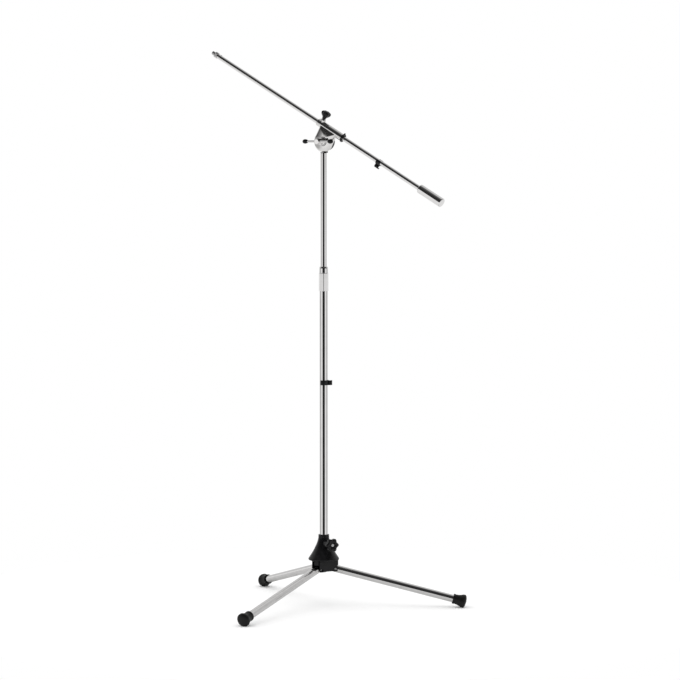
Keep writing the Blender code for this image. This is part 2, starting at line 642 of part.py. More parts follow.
def build_cradle(finishes, frame):
    """Upper half of the boom joint, with the sleeve that the boom slides through.

    The frame has its origin on the hinge axis, +Z towards the boom's tip, +X up.
    """
    plate = along((0.0, -1.0, 0.0))
    shield = bmesh.new()
    outline = [(up, tipward) for tipward, up in cradle_outline()]
    front = [shield.verts.new((up, CRADLE_FRONT, tipward)) for up, tipward in outline]
    back = [shield.verts.new((up, CRADLE_BACK, tipward)) for up, tipward in outline]
    bridge(shield, front, back)
    shield.faces.new(front)
    shield.faces.new(back)
    cradle = add_piece("boom_cradle", shield, finishes["zinc"], frame)
    on_boom = shifted(BOOM_RISE, BOOM_OFFSET)
    sleeve = add_piece("cut_cradle_sleeve",
                       turned([(SLEEVE_RADIUS - 0.0008, SLEEVE_TAIL_END),
                               (SLEEVE_RADIUS, SLEEVE_TAIL_END + 0.0008),
                               (SLEEVE_RADIUS, SLEEVE_TIP_END - 0.0008),
                               (SLEEVE_RADIUS - 0.0008, SLEEVE_TIP_END)], TURN_STEPS), None, frame,
                       on_boom)
    upright = along((1.0, 0.0, 0.0), (BOOM_RISE, BOOM_OFFSET, THUMB_PLACE))
    boss = add_piece("cut_cradle_boss", rod(0.0074, 0.0, SLEEVE_RADIUS + 0.0032), None, frame,
                     upright)
    combine(cradle, "UNION", sleeve, boss)
    bore = add_piece("cut_cradle_bore", rod(SLEEVE_BORE, -0.1, 0.1, TURN_STEPS - 4), None, frame,
                     on_boom)
    thread_radius = THUMB_THREAD + 0.0004
    thread = add_piece("cut_cradle_thread", rod(thread_radius, 0.0, 0.03), None, frame, upright)
    hole = add_piece("cut_cradle_hole", rod(JOINT_HOLE_RADIUS, -0.03, 0.03), None, frame, plate)
    combine(cradle, "DIFFERENCE", bore, thread, hole)
    outside = SLEEVE_BORE - GAP
    inside = BOOM_RADIUS + GAP
    flange = SLEEVE_RADIUS + 0.0016
    seat = SLEEVE_TAIL_END - GAP
    tail = SLEEVE_TAIL_END - 0.0034
    liner = add_piece("sleeve_liner",
                      turned([(outside, SLEEVE_TIP_END), (outside, seat), (flange - 0.0004, seat),
                              (flange, seat - 0.0007), (flange - 0.0004, tail), (inside, tail),
                              (inside, SLEEVE_TIP_END)], TURN_STEPS - 4, hollow=True),
                      finishes["plastic"], frame, on_boom)
    lug = add_piece("cut_liner_lug",
                    block((flange - 0.0028, -0.0022, tail + 0.0001),
                          (flange + 0.0024, 0.0022, seat - 0.0003)), None, frame, on_boom)
    combine(liner, "UNION", lug)
    window = add_piece("cut_liner_window", rod(thread_radius, 0.0, 0.03), None, frame, upright)
    combine(liner, "DIFFERENCE", window)


def build_t_screw(finishes, frame):
    """Locking screw of the boom joint; the frame's +Z points out towards -Y."""
    washer_back = -CRADLE_FRONT + GAP
    washer_front = -CRADLE_FRONT + THRUST_WASHER_THICKNESS
    add_piece("joint_thrust_washer",
              turned([(0.0120, washer_back), (0.0116, washer_front),
                      (JOINT_HOLE_RADIUS, washer_front), (JOINT_HOLE_RADIUS, washer_back)],
                     SMALL_STEPS + 4, hollow=True), finishes["steel"], frame)
    seat = washer_front + GAP
    collar = T_SCREW_RADIUS + 0.0028
    screw = add_piece("t_screw",
                      turned([(JOINT_BOLT_RADIUS, -HORN_BACK - NUT_THICKNESS + 0.0005),
                              (JOINT_BOLT_RADIUS, seat), (collar, seat), (collar, seat + 0.0016),
                              (T_SCREW_RADIUS, seat + 0.0040),
                              (T_SCREW_RADIUS, T_SCREW_END - 0.0012),
                              (T_SCREW_RADIUS - 0.0010, T_SCREW_END)], SMALL_STEPS + 8),
                      finishes["chrome"], frame)
    cross = along((1.0, 0.0, 0.0), (0.0, 0.0, -T_BAR_Y))
    eye = add_piece("cut_t_screw_eye", rod(T_BAR_RADIUS + GAP, -0.02, 0.02), None, frame, cross)
    combine(screw, "DIFFERENCE", eye)
    bar_half = T_BAR_HALF_LENGTH - 0.0060    # the bar stops inside its end caps
    add_piece("t_bar", rod(T_BAR_RADIUS, -bar_half, bar_half), finishes["chrome"], frame, cross)
    length = T_BAR_END_LENGTH
    bore = T_BAR_RADIUS + GAP
    floor = length - 0.0056
    outer = [(0.0036, 0.0), (0.0050, 0.0022), (0.0057, 0.0058), (0.0054, 0.0096),
             (0.0038, length - 0.0010), (0.0, length)]
    inner = [(0.0, floor), (bore, floor), (bore, 0.0)]
    for name, side in (("left", -1.0), ("right", 1.0)):
        add_piece("t_bar_end_" + name, turned(inner + outer, SMALL_STEPS), finishes["plastic"],
                  frame, along((side, 0.0, 0.0),
                               (side * (T_BAR_HALF_LENGTH - length), 0.0, -T_BAR_Y)))


def build_thumb_screw(finishes, frame):
    """Black thumb screw that clamps the boom; the frame's +Z is its axis, 0 on the boom's axis."""
    knob = add_piece("thumb_knob",
                     lobed([(0.0046, 0.0140, 0.0), (0.0050, 0.0180, 0.0), (0.0078, 0.0210, 0.4),
                            (0.0122, 0.0248, 1.0), (0.0134, 0.0282, 1.0), (0.0128, 0.0318, 1.0),
                            (0.0092, 0.0344, 0.7), (0.0040, THUMB_TOP, 0.2)], 6, 0.0024, 30),
                     finishes["plastic"], frame)
    stud_top = THUMB_TOP - 0.0064
    socket = add_piece("cut_thumb_socket", rod(THUMB_THREAD + GAP, 0.0, stud_top + 0.0005), None,
                       frame)
    combine(knob, "DIFFERENCE", socket)
    add_piece("thumb_stud", rod(THUMB_THREAD, BOOM_RADIUS + 0.0005, stud_top), finishes["steel"],
              frame)


# ================================================================ boom
def build_boom(finishes, frame):
    """Boom tube and its threaded tip; the frame's +Z points to the tip."""
    boom = add_piece("boom_tube", pipe(BOOM_RADIUS, BOOM_WALL, BOOM_TUBE_TAIL, BOOM_TUBE_TIP,
                                       TURN_STEPS - 4), finishes["chrome"], frame)
    pin_axis = along((1.0, 0.0, 0.0), (0.0, 0.0, BOOM_TIP - TIP_PIN_SETBACK))
    pin_bore = TIP_PIN_RADIUS + GAP
    pin_hole = add_piece("cut_boom_pin", rod(pin_bore, 0.0, 0.02, 12), None, frame, pin_axis)
    combine(boom, "DIFFERENCE", pin_hole)
    spigot = BOOM_RADIUS - BOOM_WALL - GAP
    shoulder = BOOM_TUBE_TIP + GAP
    insert = add_piece("boom_tip_insert",
                       turned([(spigot, BOOM_TUBE_TIP - 0.018), (spigot, shoulder - GAP),
                               (STUB_RADIUS, shoulder), (STUB_RADIUS, BOOM_TIP - 0.0008),
                               (STUB_RADIUS - 0.0008, BOOM_TIP)], SMALL_STEPS + 4),
                       finishes["steel"], frame)
    seat = add_piece("cut_insert_pin", rod(pin_bore, 0.0015, 0.02, 12), None, frame, pin_axis)
    combine(insert, "DIFFERENCE", seat)
    add_piece("tip_pin", rod(TIP_PIN_RADIUS, 0.0020, BOOM_RADIUS + 0.0012, 12), finishes["steel"],
              frame, pin_axis)


def build_tip_ring(finishes, frame):
    """Knurled lock ring on the microphone thread."""
    bore = STUB_RADIUS + GAP
    foot = BOOM_TUBE_TIP + 0.0006
    add_piece("tip_lock_ring",
              turned([(RING_RADIUS - 0.0008, foot), (RING_RADIUS, foot + 0.0008),
                      (RING_RADIUS, foot + RING_LENGTH - 0.0008),
                      (RING_RADIUS - 0.0008, foot + RING_LENGTH), (bore, foot + RING_LENGTH),
                      (bore, foot)], SMALL_STEPS + 8, hollow=True), finishes["chrome"], frame)


def build_counterweight(finishes, frame):
    """Solid steel counterweight with a blind bore for the boom's tail, and its grub screw."""
    bore = BOOM_RADIUS + GAP
    depth = BOOM_TUBE_TAIL - 0.0010
    inner = [(0.0, depth), (bore, depth), (bore, WEIGHT_FRONT)]
    outer = [(WEIGHT_RADIUS - 0.0012, WEIGHT_FRONT), (WEIGHT_RADIUS, WEIGHT_FRONT - 0.0012),
             (WEIGHT_RADIUS, WEIGHT_END + 0.0008), (WEIGHT_RADIUS - 0.0008, WEIGHT_END),
             (0.0, WEIGHT_END)]
    weight = add_piece("counterweight", turned(inner + outer, TURN_STEPS), finishes["chrome"],
                       frame)
    axis = along((-1.0, 0.0, 0.0), (0.0, 0.0, WEIGHT_FRONT - GRUB_SETBACK))
    hole = add_piece("cut_weight_grub", rod(GRUB_RADIUS + GAP, 0.003, 0.03, 12), None, frame,
                     axis)
    combine(weight, "DIFFERENCE", hole)
    add_piece("counterweight_grub", rod(GRUB_RADIUS, BOOM_RADIUS + GAP, WEIGHT_RADIUS - 0.0010,
                                        12), finishes["steel"], frame, axis)


# ================================================================ assembly
def boom_frame(rise, offset):
    """Frame tilted with the boom: +Z towards the tip, +X up, that far above and behind the hinge."""
    tipward = Vector((-cos(BOOM_TILT), 0.0, sin(BOOM_TILT)))
    upward = Vector((sin(BOOM_TILT), 0.0, cos(BOOM_TILT)))
    sideways = tipward.cross(upward)
    turn = Matrix((upward, sideways, tipward)).transposed().to_4x4()
    origin = Vector((0.0, offset, HINGE_HEIGHT)) + upward * rise
    return Matrix.Translation(origin) @ turn


def build_stand():
    """Build every piece in its joint's frame."""
    clear_scene()
    finishes = make_finishes()
    identity = Matrix.Identity(4)
    bell_frame = add_empty("axis_bell", identity)
    clutch_frame = add_empty("axis_clutch", identity)
    glide_frame = add_empty("axis_extension", identity)
    pan_frame = add_empty("axis_pan", identity)
    clip_frame = add_empty("axis_tube_clip", identity)
    build_hub(finishes)
    build_pole_foot(finishes)
    at_clamp = build_bell(finishes, bell_frame)
    build_clamp_knob(finishes, add_empty("axis_clamp", at_clamp))
    for name, azimuth in LEG_AZIMUTHS.items():
        build_leg(name, azimuth, finishes)
    build_pole(finishes, glide_frame, pan_frame, clutch_frame)
    build_clip("tube_cable_clip", LOWER_TUBE_RADIUS, finishes, clip_frame,
               shifted(z=TUBE_CLIP_HEIGHT) @ Matrix.Rotation(radians(TUBE_CLIP_AZIMUTH), 4, "Z"))
    build_horn(finishes, pan_frame)
    tilt_frame = add_empty("axis_tilt", boom_frame(0.0, 0.0))
    build_cradle(finishes, tilt_frame)
    build_t_screw(finishes, add_empty("axis_t_screw",
                                      along((0.0, -1.0, 0.0), (0.0, 0.0, HINGE_HEIGHT))))
    boom_axis = boom_frame(BOOM_RISE, BOOM_OFFSET)
    upright = boom_axis @ along((1.0, 0.0, 0.0), (0.0, 0.0, THUMB_PLACE))
    build_thumb_screw(finishes, add_empty("axis_thumb_screw", upright))
    slide_frame = add_empty("axis_boom", boom_axis)
    build_boom(finishes, slide_frame)
    build_counterweight(finishes, slide_frame)
    build_tip_ring(finishes, add_empty("axis_tip_ring", boom_axis))
    build_clip("boom_cable_clip", BOOM_RADIUS, finishes, add_empty("axis_boom_clip", boom_axis),
               shifted(z=BOOM_CLIP_PLACE) @ Matrix.Rotation(radians(180.0), 4, "Z"), side=-1.0)


build_stand()
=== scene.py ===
"""Looks of the boom microphone stand: fine surfaces, finishes, a white studio and a camera.

The pole stands on the Z axis, the floor is z = 0, and the boom points up towards -X.
"""
from math import cos, pi, radians, sin, tan

import bmesh
import bpy
from mathutils import Matrix, Vector


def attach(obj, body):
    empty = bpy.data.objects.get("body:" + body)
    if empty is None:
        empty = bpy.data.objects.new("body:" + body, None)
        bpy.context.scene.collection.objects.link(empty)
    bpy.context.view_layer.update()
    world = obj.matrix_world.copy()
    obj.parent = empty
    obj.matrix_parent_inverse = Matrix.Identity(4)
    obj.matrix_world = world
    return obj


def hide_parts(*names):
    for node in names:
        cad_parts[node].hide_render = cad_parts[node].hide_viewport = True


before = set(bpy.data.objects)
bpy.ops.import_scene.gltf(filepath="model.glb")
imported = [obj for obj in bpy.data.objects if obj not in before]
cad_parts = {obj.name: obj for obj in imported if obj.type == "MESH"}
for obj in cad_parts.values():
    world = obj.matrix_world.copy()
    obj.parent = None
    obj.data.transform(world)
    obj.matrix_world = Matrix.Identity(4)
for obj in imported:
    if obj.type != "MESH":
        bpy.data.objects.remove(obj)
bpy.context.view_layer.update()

# -------- fineness
ROUND = 96                      # sides of the tubes and turned pieces
SMALL = 48                      # sides of screws and the smaller turned pieces
TINY = 24                       # sides of the smallest pins and their holes
LOBED = 144                     # sides of the knobs and the eight-sided grip
KNURLED = 216                   # sides of the knurled ring
FILLET_STEPS = 4
SHARP_TURN = radians(38)        # edges that turn further than this stay sharp
VOXEL = 0.0006                  # cell that a casting's soft edges are rebuilt from
GAP = 0.0003                    # room between neighbouring pieces
HEXAGON = (0.0, 300.0, 5)       # start, end and steps of a six-sided arc

# -------- pole and base
LOWER_RADIUS = 0.0105
LOWER_WALL = 0.0012
LOWER_FOOT = 0.0915
LOWER_TOP = 0.8000
UPPER_RADIUS = 0.0080
UPPER_WALL = 0.0010
UPPER_FOOT = 0.3950
UPPER_TOP = 1.1335
LEG_AZIMUTHS = {"front": -90.0, "right": 30.0, "left": 150.0}
LEG_SLOPE = radians(14.1)
LEG_RADIUS = 0.0095
LEG_WALL = 0.0012
PIVOT_REACH = 0.0300
FOOT_REACH = 0.3490
FOOT_RIM_RADIUS = 0.0168
FOOT_COLLAR_RADIUS = 0.0122
FOOT_FLAT = 0.0008
FOOT_DEPTH = 0.0262
FOOT_WEB = 0.0050               # from the end of the leg's seat to the rim
FOOT_FLARE = 1.8                # how late the foot sweeps outwards
PIN_RADIUS = 0.0030
PIN_HALF_LENGTH = 0.0128
KNUCKLE_LENGTH = 0.0185
LEG_PLUG_END = 0.0450
HUB_FOOT = 0.0895
HUB_TOP = 0.1168
HUB_WALL_REACH = 0.0280
HUB_CORNER_REACH = 0.0370
HUB_CORE_RADIUS = 0.0190
HUB_CORE_TOP = 0.1400
HUB_ARCH_RISE = 0.0036
HUB_ARCH_RADIUS = 0.0300
HUB_ARCH_START = 0.0215
HUB_SCREW_RADIUS = 0.0031
HUB_SCREW_HEAD_RADIUS = 0.0066
HUB_SCREW_HEAD = 0.0038
HUB_SCREW_REACH = 0.0180
HUB_SCREW_HOLE = 0.0038
BELL_FOOT = 0.1172
BELL_LIP_HEIGHT = 0.1215
BELL_SHOULDER = 0.1750
BELL_TOP = 0.1815
BELL_TOP_RADIUS = 0.0135
BELL_LIP_RADIUS = 0.0385
BELL_WALL = 0.0030
BELL_CEILING = 0.1500
BELL_FLARE = 1.5                # how late the bell's wall sweeps outwards
BELL_LUG_HALF_WIDTH = 0.0070
BELL_SLIT_HALF_WIDTH = 0.0012
BELL_SLIT_TURN = -27.0          # degrees from the clamp to the slit
CLAMP_AZIMUTH = -30.0
CLAMP_HEIGHT = 0.1596
CLAMP_BOSS_ROOT = 0.0125
CLAMP_BOSS_REACH = 0.0315
CLAMP_BOSS_RADIUS = 0.0092
CLAMP_BOSS_END_RADIUS = 0.0084
STAR_BACK = 0.0396
STAR_DEPTH = 0.0120
STAR_RADIUS = 0.0174
STAR_LOBE_DEPTH = 0.0036
STAR_LOBES = 6
STAR_NECK_RADIUS = 0.0072
CLAMP_THREAD = 0.0040
CLAMP_PITCH = 0.00125

# -------- clutch
GRIP_FOOT = 0.7910
GRIP_TOP = 0.8355
GRIP_RADIUS = 0.0122
GRIP_SIDES = 8
GRIP_TURN = radians(11.5)
NOSE_TOP = 0.8520
NOSE_RADIUS = 0.0113
NOSE_BORE = 0.0104

# -------- boom joint and boom
HINGE_HEIGHT = 1.1622
CRADLE_FRONT = -0.0060
CRADLE_BACK = 0.0040
CRADLE_RADIUS = 0.0262
CRADLE_DOME = 0.0026            # rise of the front face from its rim to its middle
HORN_FRONT = 0.0056
HORN_BACK = 0.0180
HORN_RADIUS = 0.0225
HORN_NECK_HALF_WIDTH = 0.0052
STEM_FOOT = 1.1000
STEM_COLLAR = 0.0014
JOINT_HOLE = 0.0044
WASHER_RADIUS = 0.0120
WASHER_THICKNESS = 0.0018
NUT_RADIUS = 0.0075
NUT_THICKNESS = 0.0055
T_SCREW_RADIUS = 0.0072
T_SCREW_END = 0.0332
T_SCREW_SHANK = 0.0040
T_SCREW_COLLAR = 0.0028         # how far the collar stands out round the screw
T_BAR_REACH = 0.0260
T_BAR_HALF_LENGTH = 0.0441
T_BAR_RADIUS = 0.0028
T_BAR_END_LENGTH = 0.0134
T_BAR_END_RADIUS = 0.0056
T_BAR_END_DEPTH = 0.0056        # solid rubber beyond the bar
BOOM_TILT = radians(28.7)
BOOM_RISE = 0.0328
BOOM_OFFSET = 0.0057
BOOM_RADIUS = 0.0060
BOOM_WALL = 0.0010
BOOM_TIP = 0.4069
BOOM_TUBE_TIP = 0.3873
BOOM_TUBE_TAIL = -0.3217
TIP_SPIGOT = 0.0180
STUB_RADIUS = 0.00476
STUB_PITCH = 0.0015875
RING_RADIUS = 0.0076
RING_LENGTH = 0.0095
KNURLS = 36
KNURL_DEPTH = 0.00035
WEIGHT_FRONT = -0.2967
WEIGHT_END = -0.3686
WEIGHT_RADIUS = 0.0112
SLEEVE_TIP_END = 0.0403
SLEEVE_TAIL_END = -0.0412
SLEEVE_RADIUS = 0.0092
SLEEVE_BORE = 0.0076
SLEEVE_BOSS_RADIUS = 0.0074
SLEEVE_BOSS_RISE = 0.0032
LINER_LIP = 0.0016
LINER_LIP_LENGTH = 0.0034
LINER_LUG_HALF_WIDTH = 0.0022
THUMB_PLACE = 0.0295
THUMB_FOOT = 0.0140
THUMB_TOP = 0.0358
THUMB_RADIUS = 0.0126
THUMB_LOBES = 6
THUMB_LOBE_DEPTH = 0.0024
THUMB_CROWN = 0.0064            # solid plastic over the end of the stud
THUMB_BORE = 0.0033
THUMB_HOLE = 0.0034
STUD_RADIUS = 0.0030
STUD_PITCH = 0.0010
TIP_PIN_SETBACK = 0.0280
TIP_PIN_RADIUS = 0.0012
TIP_PIN_HOLE = 0.0014
GRUB_SETBACK = 0.0120
GRUB_RADIUS = 0.0020
GRUB_HOLE = 0.0023
GRUB_SOCKET = 0.0011

# -------- cable clips
CLIP_LENGTH = 0.0120
TUBE_CLIP_HEIGHT = 0.5565
TUBE_CLIP_AZIMUTH = 30.0
BOOM_CLIP_PLACE = -0.1704
CLIP_WALL = 0.0020
CLIP_MOUTH = 52.0
HOOK_BORE = 0.0036
HOOK_WALL = 0.0015
HOOK_ARC = (150.0, 400.0)

# -------- camera
CAMERA_PLACE = Vector((3.867, -5.835, 1.184))
CAMERA_AIM = Vector((-0.5461, 0.8345, -0.0734))
CAMERA_LENS = 149.2

# -------- studio
FLOOR_RADIUS = 1.0
FLOOR_DROP = 0.0002
FLOOR_IN_REFLECTIONS = (0.55, 0.55, 0.55, 1.0)
LOW_ROOM = (0.80, 0.80, 0.80, 1.0)
REAR_ROOM = (0.60, 0.60, 0.60, 1.0)
WHITE = (1.0, 1.0, 1.0, 1.0)
SUN_STRENGTH = 0.35
SUN_SPREAD = radians(50)


# ======== geometry helpers
def along(direction, origin=(0.0, 0.0, 0.0)):
    """Placement whose own +Z points along a direction."""
    turn = Vector(direction).normalized().to_track_quat("Z", "Y")
    return Matrix.Translation(Vector(origin)) @ turn.to_matrix().to_4x4()


def raised(height):
    """Placement moved along Z without turning."""
    return Matrix.Translation(Vector((0.0, 0.0, height)))


def spun(azimuth):
    """Placement turned about Z, in degrees."""
    return Matrix.Rotation(radians(azimuth), 4, "Z")


def compass(azimuth, reach, height=0.0):
    """Point at an azimuth in degrees and a distance from the pole."""
    return Vector((reach * cos(radians(azimuth)), reach * sin(radians(azimuth)), height))


def eased(corners, closed=True):
    """Round the corners of a section: each corner is (radius, height, fillet).

    A point just outside each fillet keeps the long faces beside it shaded straight.
    """
    points = []
    count = len(corners)
    for index, (radius, height, fillet) in enumerate(corners):
        here = Vector((radius, height))
        is_end = not closed and index in (0, count - 1)
        if fillet <= 0.0 or is_end:
            points.append((radius, height))
            continue
        before = Vector(corners[index - 1][:2]) - here
        after = Vector(corners[(index + 1) % count][:2]) - here
        reach = min(fillet, before.length * 0.45, after.length * 0.45)
        first = here + before.normalized() * reach
        last = here + after.normalized() * reach
        guard = here + before.normalized() * min(reach * 1.2, before.length * 0.495)
        points.append((guard.x, guard.y))
        for step in range(FILLET_STEPS + 1):
            share = step / FILLET_STEPS
            bend = first.lerp(here, share).lerp(here.lerp(last, share), share)
            points.append((bend.x, bend.y))
        guard = here + after.normalized() * min(reach * 1.2, after.length * 0.495)
        points.append((guard.x, guard.y))
    return points


def turned(section, steps=ROUND, closed=True, shape=None):
    """Revolve a section about Z; shape(angle, height, radius) may change the radius."""
    mesh = bmesh.new()
    rings = []
    for radius, height in section:
        if radius < 1e-7:
            rings.append([mesh.verts.new((0.0, 0.0, height))])
            continue
        ring = []
        for index in range(steps):
            angle = 2.0 * pi * index / steps
            reach = shape(angle, height, radius) if shape else radius
            ring.append(mesh.verts.new((reach * cos(angle), reach * sin(angle), height)))
        rings.append(ring)
    pairs = list(zip(rings, rings[1:]))
    if closed:
        pairs.append((rings[-1], rings[0]))
    for first, second in pairs:
        bridge(mesh, first, second)
    if not closed:
        for ring in (rings[0], rings[-1]):
            if len(ring) > 1:
                mesh.faces.new(ring)
    return mesh


def bridge(mesh, first, second):
    """Faces between two rings, either of which may be a single point."""
    steps = max(len(first), len(second))
    if len(first) == 1 and len(second) == 1:
        return
    for index in range(steps):
        after = (index + 1) % steps
        if len(first) == 1:
            mesh.faces.new((first[0], second[index], second[after]))
        elif len(second) == 1:
            mesh.faces.new((first[index], second[0], first[after]))
        else:
            mesh.faces.new((first[index], second[index], second[after], first[after]))


def prism(outline, low, high, soften=0.0):
    """Extrude an outline of (x, y) points, with the rims of both ends softened."""
    mesh = bmesh.new()
    bottom = [mesh.verts.new((x, y, low)) for x, y in outline]
    top = [mesh.verts.new((x, y, high)) for x, y in outline]
    bridge(mesh, bottom, top)
    caps = [mesh.faces.new(bottom), mesh.faces.new(top)]
    if soften > 0.0:
        rims = list({edge for cap in caps for edge in cap.edges})
        bmesh.ops.bevel(mesh, geom=rims, offset=soften, segments=3, profile=0.5,
                        affect="EDGES", clamp_overlap=True)
    return mesh


def block(low, high, soften=0.0):
    """Box between two corners, all its edges softened."""
    outline = [(low[0], low[1]), (high[0], low[1]), (high[0], high[1]), (low[0], high[1])]
    mesh = prism(outline, low[2], high[2])
    if soften > 0.0:
        bmesh.ops.bevel(mesh, geom=list(mesh.edges), offset=soften, segments=3, profile=0.5,
                        affect="EDGES", clamp_overlap=True)
    return mesh


def solid(corners, steps=ROUND):
    """Turned solid from corners that start and end on the axis."""
    return turned(eased(corners, closed=False), steps, closed=False)


def rod(radius, low, high, steps=SMALL, soften=0.0):
    """Round bar along Z with softened ends."""
    return solid([(0.0, low, 0.0), (radius, low, soften), (radius, high, soften),
                  (0.0, high, 0.0)], steps)


def tube_section(radius, wall, low, high, soften=0.0004):
    """Section of an open tube."""
    inner = radius - wall
    return eased([(radius, low, soften), (radius, high, soften), (inner, high, soften),
                  (inner, low, soften)])


def arc(centre, radius, start, end, steps):
    """Points on an arc, angles in degrees."""
    points = []
    for index in range(steps + 1):
        angle = radians(start + (end - start) * index / steps)
        points.append((centre[0] + radius * cos(angle), centre[1] + radius * sin(angle)))
    return points


def lobes(count, depth, span):
    """Radius change that gives a knob its lobes; span maps heights to the depth's share."""
    def shape(angle, height, radius):
        return radius - depth * span(height) * (1.0 - cos(count * angle)) / 2.0
    return shape


def threaded(pitch, depth, low, high):
    """Radius change that cuts a screw thread between two heights."""
    def shape(angle, height, radius):
        if not low < height < high:
            return radius
        turn = (height / pitch - angle / (2.0 * pi)) % 1.0
        return radius - depth * (1.0 - abs(2.0 * turn - 1.0)) * 0.9
    return shape


def thread_section(radius, low, high, pitch):
    """Closely ringed bar that a thread can be cut into."""
    count = int((high - low) / pitch * 8)
    points = [(0.0, low), (radius - 0.0006, low)]
    for index in range(count + 1):
        height = low + 0.0005 + (high - low - 0.0011) * index / count
        points.append((radius, height))
    points += [(radius - 0.0006, high), (0.0, high)]
    return points


# ======== object helpers
def make(name, mesh_data, placement=None):
    """Named object from a bmesh, smooth with its real edges kept sharp."""
    bmesh.ops.recalc_face_normals(mesh_data, faces=mesh_data.faces)
    mesh = bpy.data.meshes.new(name)
    mesh_data.to_mesh(mesh)
    mesh_data.free()
    piece = bpy.data.objects.new(name, mesh)
    bpy.context.scene.collection.objects.link(piece)
    if placement is not None:
        piece.matrix_world = placement
    shade(piece)
    return piece


def shade(piece):
    """Smooth shading with sharp edges where the surface turns."""
    piece.data.shade_smooth()
    piece.data.set_sharp_from_angle(angle=SHARP_TURN)


def settle(piece):
    """Replace a piece's mesh by what its modifiers make of it."""
    bpy.context.view_layer.update()
    graph = bpy.context.evaluated_depsgraph_get()
    mesh = bpy.data.meshes.new_from_object(piece.evaluated_get(graph))
    piece.modifiers.clear()
    piece.data = mesh
    shade(piece)


def combine(piece, operation, *tools):
    """Join or cut a piece with other solids, which are used up."""
    for tool in tools:
        step = piece.modifiers.new(tool.name, "BOOLEAN")
        step.operation = operation
        step.solver = "EXACT"
        step.object = tool
    settle(piece)
    for tool in tools:
        bpy.data.objects.remove(tool, do_unlink=True)
    return piece


def cast(piece, voxel=VOXEL, passes=6):
    """Give a piece the soft edges of a casting."""
    remesh = piece.modifiers.new("cast", "REMESH")
    remesh.mode = "VOXEL"
    remesh.voxel_size = voxel
    smooth = piece.modifiers.new("soft", "SMOOTH")
    smooth.factor = 0.5
    smooth.iterations = passes
    settle(piece)
    return piece


def fit(piece, body, slot, *nodes):
    """Piece moves with a body, takes a slot's finish and stands for its CAD nodes."""
    piece.data.materials.append(finishes[slot])
    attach(piece, body)
    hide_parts(*nodes)


# ======== finishes
def node(tree, kind, **values):
    """Add a shader node and set its named inputs (underscores stand for spaces)."""
    added = tree.nodes.new(kind)
    for name, value in values.items():
        added.inputs[name.replace("_", " ")].default_value = value
    return added


def stretched_noise(tree, stretch, scale, detail=4.0):
    """Noise in the piece's own axes, stretched along some of them."""
    place = tree.nodes.new("ShaderNodeTexCoord")
    mapping = node(tree, "ShaderNodeMapping", Scale=stretch)
    noise = node(tree, "ShaderNodeTexNoise", Scale=scale, Detail=detail)
    tree.links.new(place.outputs["Object"], mapping.inputs["Vector"])
    tree.links.new(mapping.outputs["Vector"], noise.inputs["Vector"])
    return noise.outputs["Fac"]


def ranged(tree, source, low, high, start=0.35, end=0.65):
    """Map part of a noise's range to a range of values."""
    mapped = node(tree, "ShaderNodeMapRange", From_Min=start, From_Max=end, To_Min=low, To_Max=high)
    tree.links.new(source, mapped.inputs["Value"])
    return mapped.outputs["Result"]


def blended(tree, source, first, second, start=0.35, end=0.65):
    """Colour that changes between two with a noise."""
    ramp = tree.nodes.new("ShaderNodeValToRGB")
    ramp.color_ramp.elements[0].position = start
    ramp.color_ramp.elements[0].color = (*first, 1.0)
    ramp.color_ramp.elements[1].position = end
    ramp.color_ramp.elements[1].color = (*second, 1.0)
    tree.links.new(source, ramp.inputs["Fac"])
    return ramp.outputs["Color"]


def bumped(tree, height, strength, distance):
    """Normal disturbed by a height."""
    bump = node(tree, "ShaderNodeBump", Strength=strength, Distance=distance)
    tree.links.new(height, bump.inputs["Height"])
    return bump.outputs["Normal"]


def plated(name, colour, worn, rough, marks, mark_depth):
    """Bright metal with patches, fine working marks and a little unevenness in its gloss."""
    material = bpy.data.materials.new(name)
    material.use_nodes = True
    tree = material.node_tree
    shader = tree.nodes["Principled BSDF"]
    shader.inputs["Metallic"].default_value = 1.0
    patches = stretched_noise(tree, (1.0, 1.0, 1.0), 70.0, 6.0)
    lines = stretched_noise(tree, marks, 1.0, 3.0)
    tree.links.new(blended(tree, patches, colour, worn), shader.inputs["Base Color"])
    tree.links.new(ranged(tree, patches, rough * 0.7, rough * 1.4), shader.inputs["Roughness"])
    tree.links.new(bumped(tree, lines, 0.25, mark_depth), shader.inputs["Normal"])
    return material


def dark_skin(name, colour, pale, rough, grain, depth, gloss=0.5):
    """Dark moulded or coated surface: fine grain, faint dust and uneven gloss."""
    material = bpy.data.materials.new(name)
    material.use_nodes = True
    tree = material.node_tree
    shader = tree.nodes["Principled BSDF"]
    shader.inputs["Specular IOR Level"].default_value = gloss
    patches = stretched_noise(tree, (1.0, 1.0, 1.0), 55.0, 6.0)
    peel = stretched_noise(tree, (1.0, 1.0, 1.0), grain, 2.0)
    tree.links.new(blended(tree, patches, colour, pale, 0.45, 0.75), shader.inputs["Base Color"])
    tree.links.new(ranged(tree, patches, rough * 0.8, rough * 1.2), shader.inputs["Roughness"])
    tree.links.new(bumped(tree, peel, 0.35, depth), shader.inputs["Normal"])
    return material


